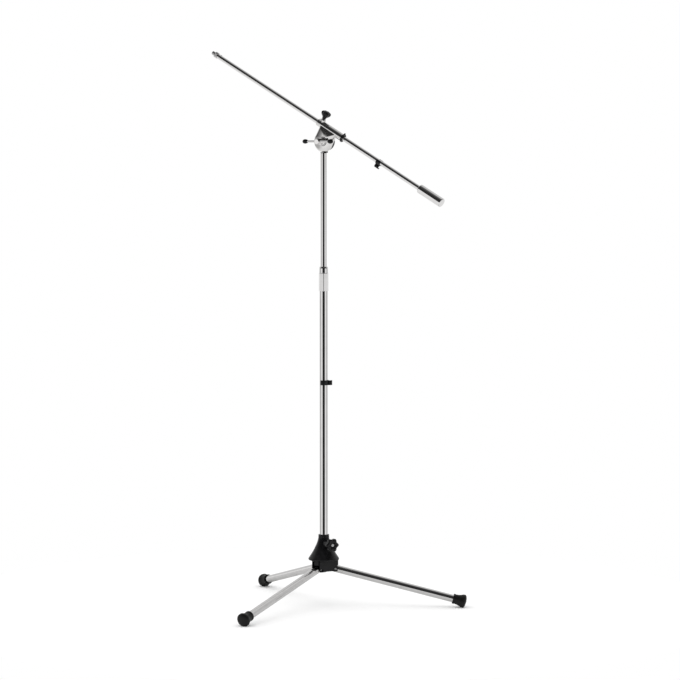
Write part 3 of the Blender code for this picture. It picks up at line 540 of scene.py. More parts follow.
def make_finishes():
    """One procedural finish for each material slot of the stand."""
    around = (30.0, 30.0, 2600.0)
    even = (900.0, 900.0, 900.0)
    return {
        "bright_chrome": plated("bright_chrome", (0.90, 0.89, 0.885), (0.85, 0.84, 0.835), 0.045,
                                around, 0.0000004),
        "plain_steel": plated("plain_steel", (0.62, 0.62, 0.62), (0.50, 0.50, 0.50), 0.26,
                              around, 0.00004),
        "plated_zinc": plated("plated_zinc", (0.86, 0.85, 0.84), (0.78, 0.77, 0.76), 0.08,
                              even, 0.000003),
        "turned_brass": plated("turned_brass", (0.74, 0.56, 0.26), (0.58, 0.42, 0.18), 0.28,
                               around, 0.00004),
        "black_casting": dark_skin("black_casting", (0.0035, 0.0035, 0.004), (0.009, 0.009, 0.010),
                                   0.30, 1500.0, 0.00006, 0.30),
        "black_plastic": dark_skin("black_plastic", (0.003, 0.003, 0.0035), (0.007, 0.007, 0.008),
                                   0.28, 2200.0, 0.00003, 0.32),
        "black_rubber": dark_skin("black_rubber", (0.004, 0.004, 0.004), (0.012, 0.012, 0.0115),
                                  0.45, 1800.0, 0.00008, 0.30),
        "friction_fibre": dark_skin("friction_fibre", (0.085, 0.070, 0.055), (0.16, 0.13, 0.10),
                                    0.85, 2600.0, 0.00010, 0.25),
    }


# ======== base
def pivot_height():
    """Height of the leg hinge pins."""
    rim_height = FOOT_RIM_RADIUS * cos(LEG_SLOPE) - FOOT_FLAT
    return rim_height + tan(LEG_SLOPE) * (FOOT_REACH - PIVOT_REACH)


def pin_placement(azimuth):
    """Axis of a leg hinge: tangential, at the pivot point."""
    return along(compass(azimuth + 90.0, 1.0), compass(azimuth, PIVOT_REACH, pivot_height()))


def hub_outline():
    """Triangle with flat walls between the legs and cut corners at the legs."""
    half = (HUB_WALL_REACH - HUB_CORNER_REACH * 0.5) / sin(radians(60))
    outline = []
    for azimuth in sorted(LEG_AZIMUTHS.values()):
        angle = radians(azimuth)
        for side in (-half, half):
            outline.append((HUB_CORNER_REACH * cos(angle) - side * sin(angle),
                            HUB_CORNER_REACH * sin(angle) + side * cos(angle)))
    return outline


def build_hub():
    """Cast hub with a cheek beside each leg and its walls arched up between them."""
    hub = make("fine_hub", prism(hub_outline(), HUB_FOOT, HUB_TOP))
    combine(hub, "UNION", make("core", rod(HUB_CORE_RADIUS, HUB_FOOT + 0.001, HUB_CORE_TOP, ROUND)))
    combine(hub, "INTERSECT", make("round", rod(HUB_CORNER_REACH + 0.0004, HUB_FOOT - 0.01,
                                                HUB_CORE_TOP + 0.01, ROUND)))
    slot_half = LEG_RADIUS + 0.0008
    tools = []
    for name, azimuth in LEG_AZIMUTHS.items():
        tools.append(make("slot", block((HUB_CORE_RADIUS + 0.0005, -slot_half, HUB_FOOT - 0.005),
                                        (0.060, slot_half, HUB_TOP + 0.005)), spun(azimuth)))
        tools.append(make("pin_hole", rod(PIN_RADIUS + 0.0004, -0.020, 0.020),
                          pin_placement(azimuth)))
        arch = HUB_FOOT + HUB_ARCH_RISE - HUB_ARCH_RADIUS
        tools.append(make("arch", rod(HUB_ARCH_RADIUS, HUB_ARCH_START, 0.060, ROUND),
                          along(compass(azimuth + 60.0, 1.0), (0.0, 0.0, arch))))
    tools.append(make("seat", rod(LOWER_RADIUS + 0.0006, LOWER_FOOT - GAP, 0.16, ROUND)))
    tools.append(make("screw_hole", rod(HUB_SCREW_HOLE, HUB_FOOT - 0.005, LOWER_FOOT + 0.005)))
    combine(hub, "DIFFERENCE", *tools)
    fit(cast(hub, VOXEL, 10), "base", "black_casting", "base_hub")


def build_hub_screw():
    """Socket screw that holds the hub to the pole, seen from below."""
    low = HUB_FOOT - HUB_SCREW_HEAD
    seat = HUB_FOOT - GAP
    end = LOWER_FOOT + HUB_SCREW_REACH
    corners = [(0.0, low, 0.0), (HUB_SCREW_HEAD_RADIUS, low, 0.0008),
               (HUB_SCREW_HEAD_RADIUS, seat, 0.0), (HUB_SCREW_RADIUS, seat, 0.0),
               (HUB_SCREW_RADIUS, end, 0.0006), (0.0, end, 0.0)]
    screw = make("fine_hub_screw", solid(corners, SMALL))
    socket = make("socket", prism(arc((0.0, 0.0), 0.0032, *HEXAGON), low - 0.002, low + 0.0024))
    combine(screw, "DIFFERENCE", socket)
    fit(screw, "base", "plain_steel", "hub_screw")


def bell_radius(height):
    """Trumpet curve of the bell's outer wall."""
    share = (BELL_SHOULDER - height) / (BELL_SHOULDER - BELL_LIP_HEIGHT)
    return BELL_TOP_RADIUS + (BELL_LIP_RADIUS - BELL_TOP_RADIUS) * max(share, 0.0) ** BELL_FLARE


def bell_section():
    """Closed section of the bell: outer wall down, then the inside up."""
    steps = 24
    outer = [(BELL_TOP_RADIUS - 0.0009, BELL_TOP), (BELL_TOP_RADIUS, BELL_TOP - 0.0009)]
    for index in range(steps + 1):
        height = BELL_SHOULDER + (BELL_LIP_HEIGHT - BELL_SHOULDER) * index / steps
        outer.append((bell_radius(height), height))
    outer += [(BELL_LIP_RADIUS, BELL_FOOT + 0.0012), (BELL_LIP_RADIUS - 0.0012, BELL_FOOT)]
    inner = [(BELL_LIP_RADIUS - BELL_WALL - 0.0010, BELL_FOOT)]
    for index in range(1, 12):
        height = BELL_LIP_HEIGHT + (BELL_CEILING - BELL_LIP_HEIGHT) * index / 12.0
        inner.append((bell_radius(height) - BELL_WALL, height))
    bore = LOWER_RADIUS + GAP
    inner += [(bell_radius(BELL_CEILING) - BELL_WALL, BELL_CEILING), (bore, BELL_CEILING + 0.003),
              (bore, BELL_TOP)]
    return outer + inner


def build_bell():
    """Sliding bell with the clamp's boss, three lugs over the legs and a slit at the top."""
    bell = make("fine_bell", turned(bell_section()))
    at_clamp = along(compass(CLAMP_AZIMUTH, 1.0), (0.0, 0.0, CLAMP_HEIGHT))
    boss = make("boss", solid([(0.0, CLAMP_BOSS_ROOT, 0.0),
                               (CLAMP_BOSS_RADIUS, CLAMP_BOSS_ROOT, 0.0),
                               (CLAMP_BOSS_END_RADIUS, CLAMP_BOSS_REACH, 0.0014),
                               (0.0, CLAMP_BOSS_REACH, 0.0)], SMALL), at_clamp)
    lugs = []
    leg_top = pivot_height() + LEG_RADIUS + 2.0 * GAP
    for azimuth in LEG_AZIMUTHS.values():
        low = (HUB_CORE_RADIUS + 0.0025, -BELL_LUG_HALF_WIDTH, leg_top)
        high = (BELL_LIP_RADIUS - BELL_WALL - 0.0023, BELL_LUG_HALF_WIDTH, BELL_LIP_HEIGHT + 0.006)
        lugs.append(make("lug", block(low, high), spun(azimuth)))
    combine(bell, "UNION", boss, *lugs)
    thread = make("thread", rod(CLAMP_THREAD + GAP, 0.0, 0.050), at_clamp)
    slit = make("slit", block((0.0, -BELL_SLIT_HALF_WIDTH, BELL_SHOULDER - 0.004),
                              (0.020, BELL_SLIT_HALF_WIDTH, BELL_TOP + 0.002)),
                spun(CLAMP_AZIMUTH + BELL_SLIT_TURN))
    combine(bell, "DIFFERENCE", thread, slit)
    fit(cast(bell, VOXEL, 4), "bell", "black_casting", "base_bell")
    return at_clamp


def build_clamp_knob(at_clamp):
    """Six-lobed knob with a dished middle that shows the end of its steel screw."""
    back = STAR_BACK
    front = back + STAR_DEPTH
    end = front - 0.0012

    def share(height):
        return min(max((height - back + 0.0030) / 0.0030, 0.0), 1.0)

    section = eased([(CLAMP_THREAD + GAP, CLAMP_BOSS_REACH + 0.0010, 0.0),
                     (STAR_NECK_RADIUS - 0.0002, CLAMP_BOSS_REACH + 0.0010, 0.0006),
                     (STAR_NECK_RADIUS, back - 0.0004, 0.0016),
                     (STAR_RADIUS, back, 0.0022), (STAR_RADIUS, front - 0.0006, 0.0034),
                     (STAR_RADIUS - 0.0066, front, 0.0012), (0.0066, front - 0.0016, 0.0010),
                     (CLAMP_THREAD + GAP, front - 0.0022, 0.0)])
    star = make("fine_clamp_knob",
                turned(section, LOBED, shape=lobes(STAR_LOBES, STAR_LOBE_DEPTH, share)), at_clamp)
    fit(star, "clamp", "black_plastic", "clamp_knob")
    start = LOWER_RADIUS + 0.0036
    screw = make("fine_clamp_screw",
                 turned(thread_section(CLAMP_THREAD, start, end, CLAMP_PITCH), SMALL, closed=False,
                        shape=threaded(CLAMP_PITCH, 0.0005, start + 0.001, back - 0.002)),
                 at_clamp)
    fit(screw, "clamp", "plain_steel", "clamp_screw")


# ======== legs
def leg_frame(azimuth):
    """Hinge frame of a leg: origin on the pin, +Z out along the leg, +Y along the pin."""
    outward = compass(azimuth, cos(LEG_SLOPE), -sin(LEG_SLOPE))
    sideways = compass(azimuth + 90.0, 1.0)
    turn = Matrix((sideways.cross(outward), sideways, outward)).transposed().to_4x4()
    return Matrix.Translation(compass(azimuth, PIVOT_REACH, pivot_height())) @ turn


def build_leg(name, azimuth):
    """One leg: hinge plug, tube, rubber foot and its pin."""
    place = leg_frame(azimuth)
    body = "leg_" + name
    spigot = LEG_RADIUS - LEG_WALL - GAP
    knuckle = [(LEG_RADIUS * cos(radians(a)), LEG_RADIUS * sin(radians(a)))
               for a in range(-90, 1, 6)]
    knuckle[0] = (0.0, -LEG_RADIUS)
    knuckle += eased([(LEG_RADIUS, 0.0, 0.0), (LEG_RADIUS, KNUCKLE_LENGTH, 0.0004),
                      (spigot, KNUCKLE_LENGTH, 0.0), (spigot, LEG_PLUG_END, 0.001),
                      (0.0, LEG_PLUG_END, 0.0)], closed=False)[1:]
    plug = make("fine_leg_plug_" + name, turned(knuckle, SMALL, closed=False), place)
    eye = make("eye", rod(PIN_RADIUS + GAP, -0.02, 0.02), place @ along((0.0, 1.0, 0.0)))
    combine(plug, "DIFFERENCE", eye)
    fit(plug, body, "plated_zinc", "leg_plug_" + name)
    rim = (FOOT_REACH - PIVOT_REACH) / cos(LEG_SLOPE)
    tube = make("fine_leg_tube_" + name,
                turned(tube_section(LEG_RADIUS, LEG_WALL, KNUCKLE_LENGTH + GAP, rim - 0.006)), place)
    fit(tube, body, "bright_chrome", "leg_tube_" + name)
    build_foot(name, place, rim)
    end = PIN_HALF_LENGTH
    corners = [(0.0, -end + 0.0008, 0.0), (0.0014, -end, 0.0004), (PIN_RADIUS, -end, 0.0008),
               (PIN_RADIUS, end, 0.0008), (0.0014, end, 0.0004), (0.0, end - 0.0008, 0.0)]
    pin = make("fine_leg_pin_" + name, solid(corners, SMALL), pin_placement(azimuth))
    fit(pin, "base", "plain_steel", "leg_pin_" + name)


def build_foot(name, place, rim):
    """Flared rubber foot with a stepped collar, a domed end and a flat on the floor."""
    bore = LEG_RADIUS + GAP
    collar = FOOT_COLLAR_RADIUS
    mouth = rim - FOOT_DEPTH
    corners = [(bore, mouth, 0.0), (collar + 0.0004, mouth, 0.0008),
               (collar + 0.0004, mouth + 0.0046, 0.0008), (collar - 0.0006, mouth + 0.0056, 0.0006)]
    for step in range(13):
        share = step / 12.0
        flare = collar + (FOOT_RIM_RADIUS - collar) * share ** FOOT_FLARE
        corners.append((flare, mouth + 0.0077 + 0.0165 * share, 0.0))
    seat = rim - FOOT_WEB
    corners += [(FOOT_RIM_RADIUS, rim + 0.0036, 0.0020),
                (FOOT_RIM_RADIUS - 0.0060, rim + 0.0070, 0.0030),
                (0.0, rim + 0.0083, 0.0), (0.0, seat, 0.0), (bore, seat, 0.0)]
    foot = make("fine_foot_" + name, turned(eased(corners)), place)
    inverse = place.inverted()
    for vertex in foot.data.vertices:
        point = place @ vertex.co
        if point.z < 0.0:
            point.z = 0.0
            vertex.co = inverse @ point
    fit(foot, "leg_" + name, "black_rubber", "foot_" + name)


# ======== pole
def build_pole():
    """The two pole tubes."""
    lower = make("fine_lower_tube", turned(tube_section(LOWER_RADIUS, LOWER_WALL, LOWER_FOOT,
                                                        LOWER_TOP)))
    fit(lower, "base", "bright_chrome", "lower_tube")
    upper = make("fine_upper_tube", turned(tube_section(UPPER_RADIUS, UPPER_WALL, UPPER_FOOT,
                                                        UPPER_TOP)))
    fit(upper, "head", "bright_chrome", "upper_tube")


def octagon(angle, height, radius):
    """Eight flats with softened corners, over a round bar of a radius."""
    if radius < LOWER_RADIUS + 0.0006:
        return radius
    sector = 2.0 * pi / GRIP_SIDES
    across = ((angle + GRIP_TURN) % sector) - sector / 2.0
    flat = radius * cos(sector / 2.0) / cos(across)
    return min(flat, radius * 0.985)


def build_clutch():
    """Eight-sided grip with softened edges, and the domed nose above it."""
    bore = LOWER_RADIUS + GAP
    section = eased([(bore, GRIP_FOOT, 0.0003), (GRIP_RADIUS, GRIP_FOOT, 0.0011),
                     (GRIP_RADIUS, GRIP_FOOT + 0.0040, 0.0), (GRIP_RADIUS, GRIP_TOP - 0.0040, 0.0),
                     (GRIP_RADIUS, GRIP_TOP, 0.0011), (bore, GRIP_TOP, 0.0003)])
    grip = make("fine_clutch_grip", turned(section, LOBED, shape=octagon))
    fit(grip, "clutch", "bright_chrome", "clutch_grip")
    foot = GRIP_TOP + GAP
    mouth = UPPER_RADIUS + 0.0003
    dome = eased([(NOSE_RADIUS, foot, 0.0004), (NOSE_RADIUS - 0.0003, NOSE_TOP - 0.0030, 0.0050),
                  (mouth + 0.0006, NOSE_TOP, 0.0010),
                  (mouth, NOSE_TOP - 0.0012, 0.0), (mouth, foot + 0.0128, 0.0),
                  (NOSE_BORE, foot + 0.0078, 0.0), (NOSE_BORE, foot, 0.0)])
    nose = make("fine_clutch_nose", turned(dome))
    fit(nose, "clutch", "bright_chrome", "clutch_nose")


# ======== clips
def build_clip(name, body, tube_radius, placement, side=1.0):
    """Spring clip: an open ring on the tube and a small hook, open to one side."""
    ring_in = tube_radius + GAP
    ring_out = ring_in + CLIP_WALL
    outline = arc((0.0, 0.0), ring_out, -180.0 + CLIP_MOUTH, 180.0 - CLIP_MOUTH, 48)
    outline += arc((0.0, 0.0), ring_in, 180.0 - CLIP_MOUTH, -180.0 + CLIP_MOUTH, 48)
    clip = make("fine_" + name, prism(outline, 0.0, CLIP_LENGTH, 0.0004), placement)
    hook_out = HOOK_BORE + HOOK_WALL
    centre = (ring_in + GAP + hook_out, 0.0)
    hook_outline = arc(centre, hook_out, HOOK_ARC[0], HOOK_ARC[1], 36)
    hook_outline += arc(centre, HOOK_BORE, HOOK_ARC[1], HOOK_ARC[0], 36)
    hook_outline = [(x, side * y) for x, y in hook_outline]
    hook = make("hook", prism(hook_outline, 0.0, CLIP_LENGTH, 0.0004), placement)
    combine(clip, "UNION", hook)
    fit(clip, body, "black_plastic", name)


# ======== boom joint
def boom_frame(rise, offset):
    """Frame tilted with the boom: +Z towards the tip, +X up."""
    tipward = Vector((-cos(BOOM_TILT), 0.0, sin(BOOM_TILT)))
    upward = Vector((sin(BOOM_TILT), 0.0, cos(BOOM_TILT)))
    turn = Matrix((upward, tipward.cross(upward), tipward)).transposed().to_4x4()
    origin = Vector((0.0, offset, HINGE_HEIGHT)) + upward * rise
    return Matrix.Translation(origin) @ turn


def build_horn():
    """Lower half of the boom joint: a disc behind the cradle on a stem in the pole."""
    across = along((0.0, -1.0, 0.0), (0.0, 0.0, HINGE_HEIGHT))
    disc = solid([(0.0, -HORN_BACK, 0.0), (HORN_RADIUS, -HORN_BACK, 0.0022),
                  (HORN_RADIUS, -HORN_FRONT, 0.0008), (0.0, -HORN_FRONT, 0.0)])
    horn = make("fine_joint_horn", disc, across)
    shoulder = UPPER_TOP + GAP
    spigot = UPPER_RADIUS - UPPER_WALL - GAP
    neck = make("neck", block((-HORN_NECK_HALF_WIDTH, HORN_FRONT + 0.0002, shoulder + 0.0002),
                              (HORN_NECK_HALF_WIDTH, HORN_BACK - 0.0060, HINGE_HEIGHT - 0.010),
                              0.0008))
    collar = shoulder + STEM_COLLAR
    stem = make("stem", solid([(0.0, STEM_FOOT, 0.0), (spigot, STEM_FOOT, 0.0010),
                               (spigot, shoulder, 0.0), (UPPER_RADIUS, shoulder, 0.0003),
                               (UPPER_RADIUS, collar, 0.0006), (0.0, collar, 0.0)]))
    combine(horn, "UNION", neck, stem)
    combine(horn, "DIFFERENCE", make("hole", rod(JOINT_HOLE, -0.03, 0.03), across))
    fit(horn, "head", "black_casting", "joint_horn")
    place = along((0.0, 1.0, 0.0), (0.0, HORN_BACK + GAP, HINGE_HEIGHT))
    nut = make("fine_joint_nut", prism(arc((0.0, 0.0), NUT_RADIUS, *HEXAGON), 0.0,
                                       NUT_THICKNESS, 0.0005), place)
    combine(nut, "DIFFERENCE", make("thread", rod(JOINT_HOLE, -0.01, 0.02), place))
    fit(nut, "head", "plain_steel", "joint_nut")


def shield_outline():
    """Round-bottomed shield in the boom's frame: (up, towards the tip)."""
    half = CRADLE_RADIUS - 0.0006
    outline = [(BOOM_RISE * (5 - i) / 5.0, half) for i in range(5)]
    outline += [(-CRADLE_RADIUS * sin(radians(a)), CRADLE_RADIUS * cos(radians(a)))
                for a in range(3, 178, 5)]
    outline += [(BOOM_RISE * i / 5.0, -half) for i in range(1, 6)]
    outline += [(BOOM_RISE, half * (i / 4.0 - 1.0)) for i in range(1, 8)]
    return outline


def shield():
    """Shield plate with a rounded rim and a gently domed front."""
    outline = shield_outline()
    middle = Vector((BOOM_RISE * 0.25, 0.0))
    rim = CRADLE_FRONT + CRADLE_DOME
    layers = [(0.97, CRADLE_BACK), (1.0, CRADLE_BACK - 0.0008), (1.0, rim + 0.0014),
              (0.99, rim + 0.0005), (0.965, rim)]
    for step in range(1, 16):
        share = 0.965 * (1.0 - step / 16.0)
        layers.append((share, rim - CRADLE_DOME * (1.0 - (share / 0.965) ** 2)))
    mesh = bmesh.new()
    rings = []
    for share, depth in layers:
        ring = []
        for up, tipward in outline:
            point = middle.lerp(Vector((up, tipward)), share)
            ring.append(mesh.verts.new((point.x, depth, point.y)))
        rings.append(ring)
    for first, second in zip(rings, rings[1:]):
        bridge(mesh, first, second)
    mesh.faces.new(rings[0])
    bridge(mesh, rings[-1], [mesh.verts.new((middle.x, CRADLE_FRONT, middle.y))])
    return mesh


def build_cradle():
    """Upper half of the joint with the boom's sleeve, and the black liner in it."""
    tilt = boom_frame(0.0, 0.0)
    axis = boom_frame(BOOM_RISE, BOOM_OFFSET)
    upright = axis @ along((1.0, 0.0, 0.0), (0.0, 0.0, THUMB_PLACE))
    cradle = make("fine_boom_cradle", shield(), tilt)
    sleeve = make("sleeve", rod(SLEEVE_RADIUS, SLEEVE_TAIL_END, SLEEVE_TIP_END, ROUND, 0.0010),
                  axis)
    boss = make("boss", rod(SLEEVE_BOSS_RADIUS, 0.0, SLEEVE_RADIUS + SLEEVE_BOSS_RISE,
                            soften=0.0009), upright)
    combine(cradle, "UNION", sleeve, boss)
    across = along((0.0, -1.0, 0.0), (0.0, 0.0, HINGE_HEIGHT))
    combine(cradle, "DIFFERENCE", make("bore", rod(SLEEVE_BORE, -0.1, 0.1, ROUND), axis),
            make("thread", rod(THUMB_HOLE, 0.0, 0.03), upright),
            make("hole", rod(JOINT_HOLE, -0.03, 0.03), across))
    fit(cradle, "cradle", "plated_zinc", "boom_cradle")
    build_liner(axis, upright)


def build_liner(axis, upright):
    """Plastic bush in the sleeve, with a lipped end and a small lug on top."""
    outside = SLEEVE_BORE - GAP
    inside = BOOM_RADIUS + GAP
    flange = SLEEVE_RADIUS + LINER_LIP
    seat = SLEEVE_TAIL_END - GAP
    tail = SLEEVE_TAIL_END - LINER_LIP_LENGTH
    liner = make("fine_sleeve_liner",
                 turned(eased([(outside, SLEEVE_TIP_END, 0.0003), (outside, seat, 0.0),
                               (flange, seat, 0.0006), (flange, tail, 0.0012),
                               (inside, tail, 0.0004), (inside, SLEEVE_TIP_END, 0.0)])),
                 axis)
    lug = make("lug", block((flange - 0.0028, -LINER_LUG_HALF_WIDTH, tail + 0.0002),
                            (flange + 0.0024, LINER_LUG_HALF_WIDTH, seat - 0.0003), 0.0005), axis)
    combine(liner, "UNION", lug)
    combine(liner, "DIFFERENCE", make("window", rod(THUMB_HOLE, 0.0, 0.03), upright))
    fit(liner, "cradle", "black_plastic", "sleeve_liner")


def build_t_screw():
    """Locking screw of the boom joint with its sliding cross bar and ball ends."""
    place = along((0.0, -1.0, 0.0), (0.0, 0.0, HINGE_HEIGHT))
    washer_back = -CRADLE_FRONT + GAP
    washer_front = -CRADLE_FRONT + WASHER_THICKNESS
    washer = make("fine_thrust_washer",
                  turned(eased([(JOINT_HOLE, washer_back, 0.0),
                                (WASHER_RADIUS, washer_back, 0.0003),
                                (WASHER_RADIUS, washer_front, 0.0006),
                                (JOINT_HOLE, washer_front, 0.0)])), place)
    fit(washer, "joint_lock", "plain_steel", "joint_thrust_washer")
    seat = washer_front + GAP
    collar = T_SCREW_RADIUS + T_SCREW_COLLAR
    tail = -HORN_BACK - NUT_THICKNESS + 0.0005
    bolt = [(0.0, tail, 0.0), (T_SCREW_SHANK, tail, 0.0008), (T_SCREW_SHANK, seat, 0.0),
            (collar, seat, 0.0004), (collar, seat + 0.0022, 0.0010),
            (T_SCREW_RADIUS, seat + 0.0040, 0.0012),
            (T_SCREW_RADIUS, T_SCREW_END, 0.0016), (0.0, T_SCREW_END, 0.0)]
    screw = make("fine_t_screw", solid(bolt), place)
    cross = along((1.0, 0.0, 0.0), (0.0, -T_BAR_REACH, HINGE_HEIGHT))
    combine(screw, "DIFFERENCE", make("eye", rod(T_BAR_RADIUS + GAP, -0.02, 0.02), cross))
    fit(screw, "joint_lock", "bright_chrome", "t_screw")
    half = T_BAR_HALF_LENGTH - 0.0060
    bar = make("fine_t_bar", rod(T_BAR_RADIUS, -half, half, SMALL, 0.0006), cross)
    fit(bar, "joint_lock", "bright_chrome", "t_bar")
    length = T_BAR_END_LENGTH
    bore = T_BAR_RADIUS + GAP
    depth = length - T_BAR_END_DEPTH
    cap = eased([(bore, 0.0, 0.0), (0.0038, 0.0, 0.0006), (T_BAR_END_RADIUS, 0.0040, 0.0020),
                 (T_BAR_END_RADIUS, 0.0088, 0.0030), (0.0036, length - 0.0004, 0.0026),
                 (0.0, length, 0.0), (0.0, depth, 0.0), (bore, depth, 0.0)])
    for name, side in (("left", -1.0), ("right", 1.0)):
        at_end = along((side, 0.0, 0.0),
                       (side * (T_BAR_HALF_LENGTH - length), -T_BAR_REACH, HINGE_HEIGHT))
        end = make("fine_t_bar_end_" + name, turned(cap, SMALL), at_end)
        fit(end, "joint_lock", "black_plastic", "t_bar_end_" + name)


def build_thumb_screw():
    """Lobed thumb screw that clamps the boom."""
    place = boom_frame(BOOM_RISE, BOOM_OFFSET) @ along((1.0, 0.0, 0.0), (0.0, 0.0, THUMB_PLACE))

    def share(height):
        return min(max((height - 0.0200) / 0.0060, 0.0), 1.0)

    crown = THUMB_TOP - THUMB_CROWN
    corners = [(THUMB_BORE, THUMB_FOOT, 0.0), (0.0046, THUMB_FOOT, 0.0006),
               (0.0050, 0.0185, 0.0020), (0.0112, 0.0250, 0.0026), (THUMB_RADIUS, 0.0284, 0.0020),
               (0.0120, 0.0322, 0.0030), (0.0080, 0.0348, 0.0040), (0.0, THUMB_TOP, 0.0),
               (0.0, crown, 0.0), (THUMB_BORE, crown, 0.0)]
    knob = make("fine_thumb_knob",
                turned(eased(corners), LOBED, shape=lobes(THUMB_LOBES, THUMB_LOBE_DEPTH, share)),
                place)
    fit(knob, "thumb_screw", "black_plastic", "thumb_knob")
    low = BOOM_RADIUS + 0.0005
    high = crown - GAP
    stud = make("fine_thumb_stud",
                turned(thread_section(STUD_RADIUS, low, high, STUD_PITCH), SMALL, closed=False,
                       shape=threaded(STUD_PITCH, 0.0004, low + 0.001, 0.0150)),
                place)
    fit(stud, "thumb_screw", "plain_steel", "thumb_stud")


# ======== boom
def build_boom():
    """Boom tube, its threaded tip and the small pin that holds the tip in."""
    axis = boom_frame(BOOM_RISE, BOOM_OFFSET)
    at_pin = axis @ along((1.0, 0.0, 0.0), (0.0, 0.0, BOOM_TIP - TIP_PIN_SETBACK))
    tube = make("fine_boom_tube", turned(tube_section(BOOM_RADIUS, BOOM_WALL, BOOM_TUBE_TAIL,
                                                      BOOM_TUBE_TIP, 0.0003)),
                axis)
    combine(tube, "DIFFERENCE", make("pin_hole", rod(TIP_PIN_HOLE, 0.0, 0.02, TINY), at_pin))
    fit(tube, "boom", "bright_chrome", "boom_tube")
    spigot = BOOM_RADIUS - BOOM_WALL - GAP
    low = BOOM_TUBE_TIP + GAP
    root = BOOM_TUBE_TIP - TIP_SPIGOT
    section = [(0.0, root), (spigot, root), (spigot, low - GAP)]
    section += thread_section(STUB_RADIUS, low, BOOM_TIP, STUB_PITCH)[1:]
    tip = make("fine_boom_tip", turned(section, SMALL, closed=False,
                                       shape=threaded(STUB_PITCH, 0.0008, low, BOOM_TIP - 0.0004)),
               axis)
    combine(tip, "DIFFERENCE", make("pin_seat", rod(TIP_PIN_HOLE, 0.0015, 0.02, TINY), at_pin))
    fit(tip, "boom", "plain_steel", "boom_tip_insert")
    pin = make("fine_tip_pin", rod(TIP_PIN_RADIUS, 0.0020, BOOM_RADIUS + 0.0012, TINY, 0.0004),
               at_pin)
    fit(pin, "boom", "plain_steel", "tip_pin")
    build_lock_ring(axis)


def build_lock_ring(axis):
    """Knurled ring on the microphone thread."""
    bore = STUB_RADIUS + GAP
    foot = BOOM_TUBE_TIP + 0.0006
    top = foot + RING_LENGTH

    def knurl(angle, height, radius):
        if radius < RING_RADIUS - 0.0002 or not foot + 0.001 < height < top - 0.001:
            return radius
        return radius - KNURL_DEPTH * abs(sin(KNURLS / 2.0 * angle))

    section = eased([(bore, foot, 0.0), (RING_RADIUS, foot, 0.0008),
                     (RING_RADIUS, foot + 0.0014, 0.0), (RING_RADIUS, foot + 0.0015, 0.0),
                     (RING_RADIUS, top - 0.0015, 0.0), (RING_RADIUS, top - 0.0014, 0.0),
                     (RING_RADIUS, top, 0.0008), (bore, top, 0.0)])
    ring = make("fine_tip_lock_ring", turned(section, KNURLED, shape=knurl), axis)
    fit(ring, "tip_ring", "bright_chrome", "tip_lock_ring")


def build_counterweight():
    """Solid steel counterweight with softened ends, a blind bore and a grub screw."""
    axis = boom_frame(BOOM_RISE, BOOM_OFFSET)
    bore = BOOM_RADIUS + GAP
    depth = BOOM_TUBE_TAIL - 0.0010
    corners = [(0.0, depth, 0.0), (bore, depth, 0.0), (bore, WEIGHT_FRONT, 0.0003),
               (WEIGHT_RADIUS, WEIGHT_FRONT, 0.0022), (WEIGHT_RADIUS, WEIGHT_END, 0.0016),
               (0.0, WEIGHT_END, 0.0)]
    weight = make("fine_counterweight", solid(corners), axis)
    at_grub = axis @ along((-1.0, 0.0, 0.0), (0.0, 0.0, WEIGHT_FRONT - GRUB_SETBACK))
    combine(weight, "DIFFERENCE", make("hole", rod(GRUB_HOLE, 0.003, 0.03, TINY), at_grub))
    fit(weight, "boom", "bright_chrome", "counterweight")
    top = WEIGHT_RADIUS - 0.0010
    grub = make("fine_grub", rod(GRUB_RADIUS, BOOM_RADIUS + GAP, top, TINY, 0.0003), at_grub)
    socket = make("socket", prism(arc((0.0, 0.0), GRUB_SOCKET, *HEXAGON), top - 0.0018,
                                  top + 0.001), at_grub)
    combine(grub, "DIFFERENCE", socket)
    fit(grub, "boom", "plain_steel", "counterweight_grub")


def finish_hidden(nodes):
    """Give the CAD pieces that stay, all inside others, their procedural finishes."""
    kept = {"pole_foot_plug": "plain_steel", "tube_glide": "black_plastic",
            "clutch_core": "plain_steel", "clutch_collet": "black_plastic",
            "clamp_shoe": "turned_brass", "friction_washer": "friction_fibre"}
    for name, slot in kept.items():
        mesh = nodes[name].data
        mesh.materials.clear()
        mesh.materials.append(finishes[slot])


# ======== studio
def ramp_between(tree, source, stops):
    """Grey ramp over a value: stops are (place from 0 to 1, grey)."""
    ramp = tree.nodes.new("ShaderNodeValToRGB")
    elements = ramp.color_ramp.elements
    elements[0].position = stops[0][0]
    elements[1].position = stops[-1][0]
    for place, grey in stops[1:-1]:
        elements.new(place)
    for element, (place, grey) in zip(elements, stops):
        element.color = (grey, grey, grey, 1.0)
    tree.links.new(source, ramp.inputs["Fac"])
    return ramp.outputs["Color"]


